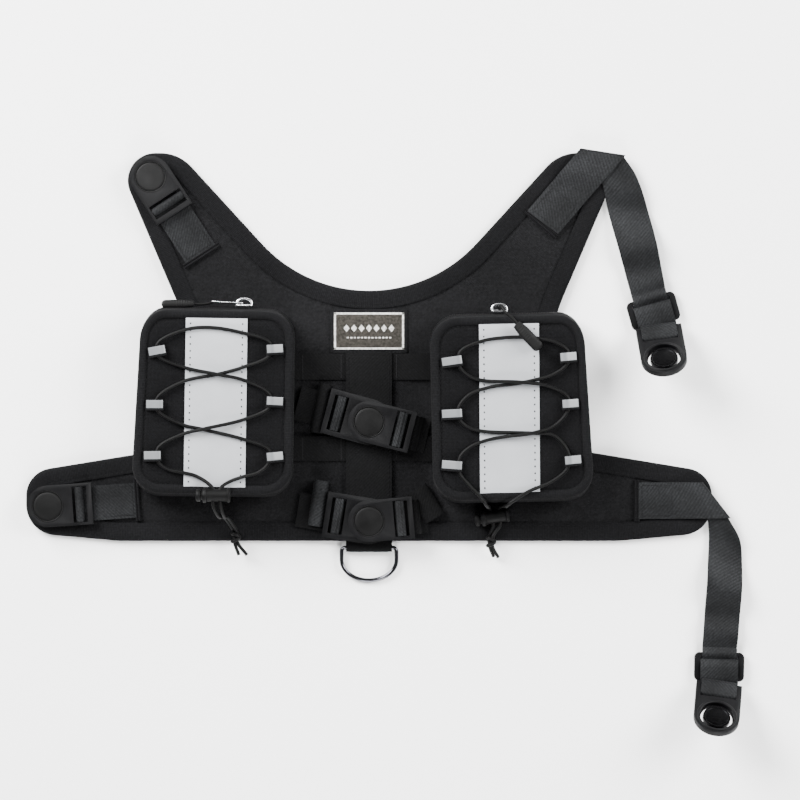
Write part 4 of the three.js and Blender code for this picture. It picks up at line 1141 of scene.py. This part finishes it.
def hanging_run(side):
    """The free run, one piece of webbing bent across the rim's hinge, woven through the adjuster
    and turned up into the seat half's bar."""
    _, hinge, _ = seat_place(side)
    lift, axis = joint_named(f"{side}_strap_lift")
    down = np.array([-axis[1], axis[0], 0])
    down *= np.sign(down @ (hinge - lift))
    left, right = (smooth(edge, 2.0) for edge in HANGING[side])
    count = 70
    left, right = (np.stack([np.interp(np.linspace(0, 1, count), np.linspace(0, 1, len(e)), e[:, k])
                             for k in (0, 1)], -1) for e in (left, right))
    half = np.array([-down[1], down[0], 0]) * WEB / 2
    tail = hinge[None] + down[None] * np.linspace(-26, -0.4, 22)[:, None]
    left3 = np.concatenate([left, np.zeros((count, 1))], 1)
    right3 = np.concatenate([right, np.zeros((count, 1))], 1)
    sign = 1 if ((right3[-1] - left3[-1]) @ half) > 0 else -1
    join = np.linspace(0, 1, count)[:, None] ** 3
    start = hinge - down * 27
    left3 = left3 * (1 - join) + join * (left3 + (start - half * sign - left3[-1]) * [1, 1, 0])
    right3 = right3 * (1 - join) + join * (right3 + (start + half * sign - right3[-1]) * [1, 1, 0])
    left3 = np.concatenate([left3, tail - half * sign])
    right3 = np.concatenate([right3, tail + half * sign])
    run = length_of((left3 + right3) / 2)
    rim = length_of(np.stack([(left3 + right3)[0] / 2, lift]))[-1]
    drop = 1 / (1 + np.exp(-(run - rim + 4) / 3.2))
    z = (RIM_TOP + 0.9) * (1 - drop) + 2.1 * drop
    free = run[-1] - rim
    z += 6.5 * np.exp(-((run - rim - free * 0.33) / 15) ** 2)
    z += 3.4 * np.exp(-((run - rim - free * 0.64) / 10) ** 2)
    z += 3.3 * np.exp(-((run - run[-1] + 22) / 3.6) ** 2)
    left3[:, 2] = right3[:, 2] = z
    made = put(f"{side}_strap", [strap(left3, right3)], LIT_WEBBING, None, [f"{side}_strap_hanging_run"])
    return made, lift, down


def seat_half(side):
    """The seat half standing up from the strap's end, with its loop, frame, rim and magnet."""
    place, _, _ = seat_place(side)
    body = f"{side}_seat"
    softened(f"{side}_seat_plate", f"{side}_seat_frame", PLASTIC, body)
    magnet = turned([
        (0, 3.5), (9.6, 3.5), (10, 3.8), (10, 4.7), (9.7, 5.0), (8.6, 5.05), (8.2, 4.75), (7.8, 4.8),
        (0, 4.8),
    ])
    put(f"{side}_seat_magnet_disc", [place.part(magnet)], MAGNET_METAL, body, [f"{side}_seat_magnet"])
    ring = turned([
        (12.6, 6.0), (12.7, 6.55), (13.2, 6.8), (14.0, 6.8), (14.5, 6.55), (14.6, 6.0), (12.6, 6.0),
    ])
    put(f"{side}_seat_rim", [place.part(ring)], PLASTIC, body)
    over = smooth([(34.6, 1.3), (34.4, 4.2), (33.0, 6.6), (30.4, 7.2), (27.2, 6.8), (24.4, 6.1)], 0.8)
    turn = np.radians(np.linspace(82, 270, 18))
    round_bar = np.stack([BAR_AT + LOOP_RADIUS * np.cos(turn), BAR_HEIGHT + LOOP_RADIUS * np.sin(turn)], -1)
    path = np.concatenate([over, round_bar, [[32.6, LEG_CENTRE]]])
    put(f"{side}_seat_roll", [place.part(band(path, WEB + 0.9, step=0.8))], LIT_WEBBING, body,
        [f"{side}_seat_loop"])
    softened(f"{side}_adjuster", f"{side}_tri_glide", PLASTIC, f"{side}_glide", edge=0.7)
    low, high = box_mm(f"{side}_tri_glide")
    _, slide = joint_named(f"{side}_glide_slide")
    slide = slide * np.sign(slide[1]) * -1
    middle = (low + high) / 2
    glide = Place((middle[0], middle[1], 0), x=slide)
    fold = smooth([
        (-5.6, 3.3), (-4.4, 4.6), (-1, 5.9), (4, 6.3), (8.4, 6.2), (11.6, 5.4), (12.6, 4.0), (12.0, 2.6),
    ], 0.8)
    put(f"{side}_adjuster_fold", [glide.part(band(fold, 27.2, step=0.8))], LIT_WEBBING, f"{side}_glide")


for arm in ("neck", "belly"):
    sewn_run(arm)
    run, lift, down = hanging_run(arm)
    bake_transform(run)
    seat_half(arm)

# ---------------------------------------------------------------- pouches

POUCH_HALF = (56.75, 67.5)
POUCH_CORNER = 20.0
ZIP_MIDDLE = 18.0
ON_FACE, IN_LOOP, ON_CROSSING = 36.7, 37.0, 39.3  # heights of the lace's middle
HOLD = {0: ON_FACE, 1: IN_LOOP, 2: ON_CROSSING}

# Each lace up from its lock, over the face, and back. The third value is 0 on the face, 1 in a
# loop, 2 over a crossing, and above that the height itself.
LACES = {
    "left": [
        (-99.4, -28.8, 0), (-89.3, -25.2, 0), (-78.5, -22, 0), (-71.5, -15.5, 1), (-71.2, -6.5, 1),
        (-89.3, 1.4, 0), (-118.8, 8.6, 0), (-133.9, 12.2, 0), (-151, 22.3, 1), (-151, 30.8, 1),
        (-133.2, 42.5, 0), (-106.6, 48.2, 0), (-88.6, 53.3, 0), (-71, 61.5, 1), (-71, 70.5, 1),
        (-91.4, 77.8, 0), (-114.5, 81.4, 0), (-131.8, 79.5, 0), (-150.6, 70, 1), (-150.6, 61.5, 1),
        (-133.2, 53.3, 0), (-106.6, 47.5, 2), (-88.6, 43.5, 0), (-71, 33.5, 1), (-71, 24.5, 1),
        (-88.6, 15.8, 0), (-118.8, 8.6, 2), (-133.2, 5, 0), (-150.6, -5, 1), (-150.6, -14.5, 1),
        (-143.3, -20, 0), (-133.2, -22.2, 0), (-122.4, -25.2, 0),
    ],
    "right": [
        (96.5, -46.4, 22), (98.5, -46.3, 33.5), (101.5, -43.8, 37.6), (113.8, -36, 0),
        (131.8, -28.1, 0), (142.2, -18.7, 1), (142.2, -7.5, 1), (131.8, 4.3, 0), (116.6, 5.8, 0),
        (81.4, 7.2, 0), (71.3, 9.8, 0), (64.6, 16, 1), (64.4, 24.5, 1), (72.7, 33.8, 0),
        (87.8, 38.9, 0), (108, 41.6, 0), (133.2, 48.5, 0), (142.2, 56, 1), (142.2, 64.3, 1),
        (131.8, 71.3, 0), (113.8, 74.2, 0), (98.6, 74.2, 0), (79.9, 71.3, 0), (65, 63.5, 1),
        (65, 53, 1), (71.3, 46.8, 0), (80.6, 43.6, 0), (108, 42.2, 2), (128, 39.5, 0),
        (142.2, 31.5, 1), (142.2, 22, 1), (133.2, 11.5, 0), (118.8, 6.3, 2), (87.8, 1.6, 0),
        (72.7, -3.9, 0), (64.8, -12, 1), (64.8, -22.5, 1), (71.3, -31, 0), (79.5, -39.5, 0),
        (83, -44.2, 37.6), (84.8, -46.8, 33.5), (86, -47, 22),
    ],
}
# Loops for the lace: x of the column, then y and lean in degrees of each.
LOOPS = {
    "left": {
        "outer": (-150.4, [(65.7, 10), (26.6, 0), (-9.8, 1)]),
        "inner": (-71.0, [(66, 3), (29, -3), (-11, 5)]),
    },
    "right": {
        "outer": (141.9, [(60.2, 5), (26.8, 4), (-13.6, 5)]),
        "inner": (64.8, [(58.3, 8), (20.2, 3), (-17.2, -4)]),
    },
}
SLIDER_AT = {"left": -89.5, "right": 93.5}
LACES_APART = 2.6
KNOTS = {"left": (-95.8, -69.1, 9.2), "right": (87.8, -72.2, 9.8)}
ENDS = {"left": [(-93.6, -82, 7.3), (-87.8, -82, 7.3)], "right": [(89.6, -83, 3.4), (92.9, -83.6, 3.4)]}


def pouch_place(side):
    """The pouch's middle at floor level, x along its hinge."""
    hinge, axis = joint_named(f"{side}_pouch_open")
    middle = hinge + np.array([-axis[1], axis[0], 0]) * POUCH_HALF[1]
    return FlaredPlace((middle[0], middle[1], 0), axis, -1 if side == "left" else 1)


def pouch_ring(inset, z=0.0):
    """The pouch's outline at a height; its face is 2.2 mm shorter at each end than its base."""
    shorter = 2.2 * min(1.0, max(0.0, (z - 19) / 12))
    return inset_box(POUCH_HALF[0], POUCH_HALF[1] - shorter, POUCH_CORNER, inset, side=24)


def shell(place, profile, name, body, stands_for, seed, slack=0.25):
    """A pouch half: outlines at (inset, height) from the outside's middle round the rim to the
    inside's middle, the cloth a little uneven."""
    rings, heights = [], []
    for inset, z in profile:
        ring = pouch_ring(min(inset, 56.0), z) if inset < 56 else pouch_ring(56.0) * 0
        uneven = slack * soft_noise(ring[:, 0], ring[:, 1], 17, seed) * min(1.0, max(inset, 0) / 6)
        rings.append(ring)
        heights.append(z + uneven)
    piece = put(name, [place.part(lofted(rings, heights))], POUCH_CLOTH, body, stands_for)
    return piece


def pouch_back(side, place):
    """The half sewn to the panel."""
    insets = [56, 44, 32, 22, 12, 6, 3]
    profile = [(i, POUCH_BASE + 0.1) for i in insets]
    profile += [(1, 6.4), (0.1, 7.8), (-0.5, 12), (-0.2, 16), (0.2, 17.0)]
    profile += [(1.4, 17.0), (1.5, 12), (2.6, 8.2)] + [(i, 7.6) for i in insets[::-1] if i > 5]
    shell(place, profile, f"{side}_pouch_body", "root", [f"{side}_pouch_back"], 21, slack=0.0)


def pouch_lid(side, place):
    """The half that opens: domed face, bound edge, gusset down to the zip."""
    body = f"{side}_pouch_lid"
    dome = [(56, 34.3), (50, 34.3), (44, 34.3), (38, 34.28), (32, 34.25), (26, 34.2), (21, 34.15), (17, 34.1),
            (12.5, 34.0), (9.8, 33.85), (7.8, 33.5), (6.4, 32.9), (5.2, 32.7)]
    gusset = [(2.8, 32.5), (1.4, 31.3), (0.6, 29), (0.2, 25), (0.1, 21), (0.1, 19.1)]
    lining = [(1.5, 19.1), (1.7, 25), (2.4, 30), (4.6, 31.2)]
    lining += [(i, 32.5) for i in (8, 14, 21, 32, 44, 56)]
    profile = dome + gusset + lining
    shell(place, profile, f"{side}_pouch_cover", body, [f"{side}_pouch_front"], 4 + len(side))
    section = np.array([
        (0.4, 30.4), (-0.5, 31.3), (-0.7, 32.6), (-0.2, 33.8), (0.9, 34.6), (2.3, 34.9), (3.8, 34.85),
        (5.1, 34.45), (6.0, 33.8), (6.5, 33.0), (5.8, 32.3), (3, 31.9), (1.4, 31.0),
    ])
    flat = np.stack([pouch_ring(a * 0.9 + 0.3, 32) for a in section[:, 0]])
    run = length_of(np.concatenate([flat[0], flat[0][:1]]))
    wander = 0.12 * soft_noise(run[:-1], run[:-1] * 0.4, 12, 31 + len(side))
    ripple = wander * np.clip(section[:, 1:] - 31, 0, 3) / 3
    points = np.concatenate([flat, (section[:, 1:] + ripple)[..., None]], -1).transpose(1, 0, 2)
    uv = np.stack(np.meshgrid(run, length_of(np.concatenate([section, section[:1]])), indexing="ij"), -1)
    border = grid(points, wrap=(True, True), uv=uv)
    put(f"{side}_pouch_binding", [place.part(border)], BINDING_TAPE, body)
    seam = np.concatenate([pouch_ring(6.5, 32), np.full((len(flat[0]), 1), 33.35)], 1)
    row = stitches(np.concatenate([seam, seam[:1]]), pitch=3.4)
    put(f"{side}_pouch_stitches", [place.part(row)], THREAD, body)


def zip_run(inset):
    """The zip's line: up one side, over the top and down the other, open at the hinge."""
    ring = pouch_ring(inset)
    start = int(np.argmin(np.abs(ring[:, 0] + ring[:, 1] * 0.01) + (ring[:, 1] > 0) * 99))
    line = spaced(np.roll(ring, -start, 0), 1.25, closed=True)
    return line[line[:, 1] > -POUCH_HALF[1] + 22]


def zip_tape(side, place):
    """Two tapes with a coil of teeth between them, on the lid's lower edge."""
    body = f"{side}_pouch_lid"
    line = zip_run(0.2)
    heights = np.array([17.15, 17.15, 18.95, 18.95])
    depth = np.array([-0.15, 3.4, 3.4, -0.15])
    out = unit(np.stack([directions(line)[:, 1], -directions(line)[:, 0]], -1))
    flat = line[:, None] - out[:, None] * depth[None, :, None]
    points = np.concatenate([flat, np.broadcast_to(heights[None, :, None], flat.shape[:2] + (1,))], -1)
    tape = grid(points, wrap=(False, True), capped=True)
    put(f"{side}_zip_band", [place.part(tape)], ZIP_TAPE, body, [f"{side}_zip_tape"])
    centre = np.concatenate([line + out * 0.25, np.full((len(line), 1), ZIP_MIDDLE)], 1)
    along = directions(centre)
    lean = np.array([0, 0, 1.0]) + along * 0.25
    coil = repeated(capsule(2.5, 0.85, 1.0), centre, lean, np.concatenate([out, np.zeros((len(out), 1))], 1))
    put(f"{side}_zip_coil", [place.part(coil)], PLASTIC, body)


def slider(side, place):
    """A zinc slider: two plates across the coil and an arch that the pull hangs from."""
    middle = np.array([SLIDER_AT[side], place.origin[1] + POUCH_HALF[1] + 0.9, ZIP_MIDDLE])
    stand = Place(middle, x=(1, 0, 0), z=(0, 1, 0))
    body = slab(6.2, 3.8, 2.0, 0.0, 1.8, edge=0.5)
    turn = np.linspace(0, math.pi, 17)
    arch = np.stack([5.4 * np.cos(turn), 0 * turn, 1.0 + 4.8 * np.sin(turn) ** 0.6], -1)
    put(f"{side}_slider_body", [stand.part(body), stand.part(tube(spaced(arch, 0.6), 1.0, ref=(0, 1, 0)))],
        ZIP_METAL, f"{side}_slider", [f"{side}_zip_slider"])
    return stand


def grip(start, end, width, thick, name, body, stands_for):
    """A moulded grip: flattened, waisted near the cord and ribbed across its middle."""
    start, end = np.array(start, float), np.array(end, float)
    length = np.linalg.norm(end - start)
    t = np.linspace(0, 1, 60)
    ends = np.sqrt(np.clip(1 - ((t - 0.87).clip(0) / 0.13) ** 2, 0, 1)) * np.clip(t / 0.03, 0, 1) ** 0.5
    waist = 0.78 + 0.22 * np.clip((t - 0.05) / 0.25, 0, 1)
    ribs = 1 + 0.035 * np.cos(t * length * TAU / 1.8) * ((t > 0.12) & (t < 0.6))
    a = np.arange(20) * TAU / 20
    shape = np.sign(np.cos(a)) * np.abs(np.cos(a)) ** 0.75, np.sign(np.sin(a)) * np.abs(np.sin(a)) ** 0.75
    size = (ends * waist * ribs)[:, None]
    points = np.stack([
        np.repeat((t * length)[:, None], 20, 1), size * shape[0] * width / 2, size * shape[1] * thick / 2,
    ], -1)
    place = Place(start, x=end - start, z=np.cross(end - start, np.cross((0, 0, 1), end - start)))
    put(name, [place.part(grid(points, wrap=(False, True), capped=True))], RUBBER, body, stands_for)


def zip_pull(side, stand):
    """Left: a flat tongue, a cord and a grip along the pouch's top. Right: the cord alone, with the
    grip lying over the face."""
    body = f"{side}_pull"
    x, y, z = stand.origin
    if side == "left":
        tongue = slab(11.5, 2.1, 1.9, -0.45, 0.45, edge=0.3)
        held = Place((x - 12.0, y + 3.3, z), x=(-1, 0.05, 0), z=(0, -1, 0))
        put(f"{side}_pull_tongue", [held.part(tongue)], ZIP_METAL, body)
        line = smooth([
            (x - 21.5, y + 3.5, z), (x - 25, y + 2.6, z), (x - 30, y + 2.0, z), (x - 38, y + 2.2, z),
        ], 0.8)
        put(f"{side}_pull_cord", [tube(line, 1.1)], ELASTIC, body)
        grip((x - 35.5, y + 2.2, z), (x - 59.5, y + 1.9, z), 6.2, 5.0, f"{side}_pull_grip", body,
             [f"{side}_zip_pull"])
        return
    top = FACE + 6.6
    line = smooth([
        (x, y + 3.0, z), (x + 0.6, y + 4.2, z + 6), (x + 1.5, y + 3.6, top - 4), (x + 5, y - 1, top),
        (x + 10, y - 6, top), (x + 15, y - 12, top),
    ], 0.8)
    put(f"{side}_pull_cord", [tube(line, 1.15, ref=(0.6, 0.5, 0))], ELASTIC, body)
    grip((x + 11.6, y - 8.4, top), (x + 29.0, y - 26.6, top), 8.2, 6.2, f"{side}_pull_grip", body,
         [f"{side}_zip_pull"])


def reflective_strip(side, place):
    """The film down the middle of the face, sewn along both long edges."""
    body = f"{side}_pouch_lid"
    shift, lean, half = {"left": (1.5, 0.0, 22.0), "right": (-1.45, 0.014, 21.4)}[side]
    x, y = np.linspace(-half, half, 34) + shift, np.linspace(-61.5, 60, 90)
    gx, gy = np.meshgrid(x, y, indexing="ij")
    gx = gx + lean * gy
    lift = 0.10 * soft_noise(gx, gy, 30, 17 + len(side)) + 0.05 * soft_noise(gx, gy, 11, 19)
    near_edge = np.clip((62 - np.abs(gy)) / 5, 0, 1)
    top = 34.35 + 0.65 * near_edge + lift
    sheet_top = np.stack([gx, gy, top], -1)
    sheet_base = np.stack([gx, gy, top - 0.5], -1)
    points = np.concatenate([sheet_top, sheet_base[::-1]])
    uv = np.concatenate([sheet_top[..., :2], sheet_base[::-1, :, :2], sheet_top[:1, :, :2]])
    skin = grid(points, wrap=(True, False), uv=uv)
    sides = []
    for column in (0, -1):
        edge = np.stack([sheet_top[:, column], sheet_base[:, column]], 1)
        sides.append(grid(edge, uv=edge[..., :2]))
    whole = {
        "points": np.concatenate([p["points"] for p in (skin, *sides)]),
        "quads": np.concatenate([
            skin["quads"], sides[0]["quads"][:, ::-1] + len(skin["points"]),
            sides[1]["quads"] + len(skin["points"]) + len(sides[0]["points"]),
        ]),
        "uv": np.concatenate([p["uv"] for p in (skin, *sides)]),
    }
    put(f"{side}_film", [place.part(whole)], FILM, body, [f"{side}_reflective_panel"])
    rows = [
        stitches([(s * (half - 3.4) + shift + lean * y, y, 35.05) for y in (-59.5, 58.5)], pitch=4.9,
                 size=(1.3, 1.0, 0.5))
        for s in (-1, 1)
    ]
    put(f"{side}_film_stitches", [place.part(p) for p in rows], THREAD, body)


def lace_loops(side, column, place):
    """Black tabs folded round the lace, each with a reflective strip sewn on top."""
    x, rows = LOOPS[side][column]
    body = f"{side}_pouch_lid"
    local = x - place.origin[0]
    toward = -np.sign(local)
    seam = POUCH_HALF[0] - 6.6
    reach = seam - abs(local)
    tabs, strips = [], []
    turn = np.radians(np.linspace(-80, 82, 12))
    curl = np.stack([reach + 1.95 * np.cos(turn), IN_LOOP + 1.95 * np.sin(turn)], -1)
    under = np.array([(0.0, 33.9), (2, 34.9), (reach - 3, 34.95)])
    over = np.array([(reach - 2.5, IN_LOOP + 1.7), (3.2, 36.3), (0.6, 35.0)])
    path = smooth(np.concatenate([under, curl, over]), 0.8)
    top = smooth(np.concatenate([curl[8:] + [0.1, 0.4], over + [0, 0.62]]), 0.8)
    for y, lean in rows:
        ahead = (toward * math.cos(math.radians(lean)), toward * math.sin(math.radians(lean)), 0)
        out = flare(y - place.origin[1]) if column == "outer" else 0
        tab = Place((place.origin[0] - toward * (seam + out), y - ahead[1] * reach, 0), x=ahead)
        wide = band(path, 7.6, 0.8)
        wide["points"][:, 1] -= 0.7 * toward
        tabs.append(tab.part(wide))
        strips.append(tab.part(band(top, 5.7, 0.3)))
    put(f"{side}_{column}_tabs", tabs, LOOP_WEB, body, [f"{side}_loops_{column}"])
    put(f"{side}_{column}_tab_strips", strips, SHADED_TAB_FILM, body)


def lock_place(side):
    low, high = box_mm(f"{side}_lock_barrel")
    _, axis = joint_named(f"{side}_lock_slide")
    return Place((low + high) / 2, x=(-axis[1], axis[0], 0))


def cord_lock(side):
    """A barrel with a flange at each end, and its plunger's button."""
    place = lock_place(side)
    stand = Place(place.origin, x=(0, 0, 1), z=place.x)
    barrel = turned([
        (0, 10.0), (3.6, 10.0), (4.9, 9.7), (5.3, 9.1), (5.3, 8.1), (4.9, 7.6), (4.5, 7.2), (4.4, 4),
        (4.4, -4), (4.5, -6.6), (4.9, -7.0), (5.4, -7.6), (5.4, -9.2), (5.1, -9.8), (4.2, -10.0),
        (3.7, -9.6), (3.6, -8), (0, -8),
    ], 40)
    put(f"{side}_lock_shell", [stand.part(barrel)], PLASTIC_MATT, f"{side}_lock", [f"{side}_lock_barrel"])
    button = turned([
        (0, -8.4), (3.3, -8.4), (3.3, -11.2), (4.3, -11.6), (4.6, -12.4), (4.6, -13.6), (4.1, -14.5),
        (2.8, -15.0), (0, -15.1),
    ], 40)
    put(f"{side}_lock_button", [stand.part(button)], PLASTIC_MATT, f"{side}_plunger",
        [f"{side}_lock_plunger"])
    return place


def lace_and_tails(side):
    """The lace's run over the face, and its two tails from the lock through the knot."""
    place = cord_lock(side)
    knot = np.array(KNOTS[side])
    body = f"{side}_pouch_lid"
    holes = [place.of([[s * LACES_APART, d, 0] for d in (-4.5, 4.5)]) for s in (1, -1)]
    run = np.array([(x, y, HOLD.get(z, z)) for x, y, z in LACES[side]], float)
    path = smooth(np.concatenate([holes[0], run, holes[1][::-1]]), 1.2)
    lace = put(f"{side}_lace_run", [tube(path, LACE, ref=(0.6, 0, 0.8), sides=10)], ELASTIC,
               body if side == "left" else None, [f"{side}_lace"], sharp=80)
    if side == "right":
        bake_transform(lace)
    for n, (s, end) in enumerate(zip((1, -1), ENDS[side][::-1])):
        start = place.of([s * LACES_APART, 4.0, 0])
        out = place.of([s * LACES_APART, -6.5, 0])
        if side == "left":
            edge = place.origin[1] - 12
            hang = [
                (out[0] + (knot[0] - out[0]) * f, edge - 6.5 * f ** 0.5, z)
                for f, z in ((0.25, 33.5), (0.5, 20.0))
            ]
        else:
            hang = [(out[0] * 0.5 + knot[0] * 0.5 + s * 0.4, -64.5, 10.2)]
        into = knot + [s * 1.1, 3.0, 0.8 * s]
        away = knot + [s * 1.0, -3.4, -0.6]
        line = smooth(np.array([start, place.of([s * LACES_APART, 0, 0]), out, *hang, into, away, end]), 1.0)
        name = f"{side}_lace_tail_{n + 1}"
        whole = length_of(line)[-1]
        tail = put(name, [tube(line, LACE, ref=(0.6, 0, 0.8), sides=10)], ELASTIC,
                   None if side == "left" else "root", sharp=80)
        if side == "left":
            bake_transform(tail)
    wrap = np.linspace(0, 2.6 * TAU, 90)
    ball = np.stack([
        2.5 * np.cos(wrap), 2.6 * np.sin(wrap * 0.5) * 1.1 - 0.2, 2.3 * np.sin(wrap),
    ], -1)
    put(f"{side}_lace_knot", [tube(knot + ball, LACE * 1.08, ref=(0, 1, 0), sides=10)], ELASTIC, "root")


for hand in ("left", "right"):
    at = pouch_place(hand)
    pouch_back(hand, at)
    pouch_lid(hand, at)
    zip_tape(hand, at)
    zip_pull(hand, slider(hand, at))
    reflective_strip(hand, at)
    for which in ("outer", "inner"):
        lace_loops(hand, which, at)
    lace_and_tails(hand)
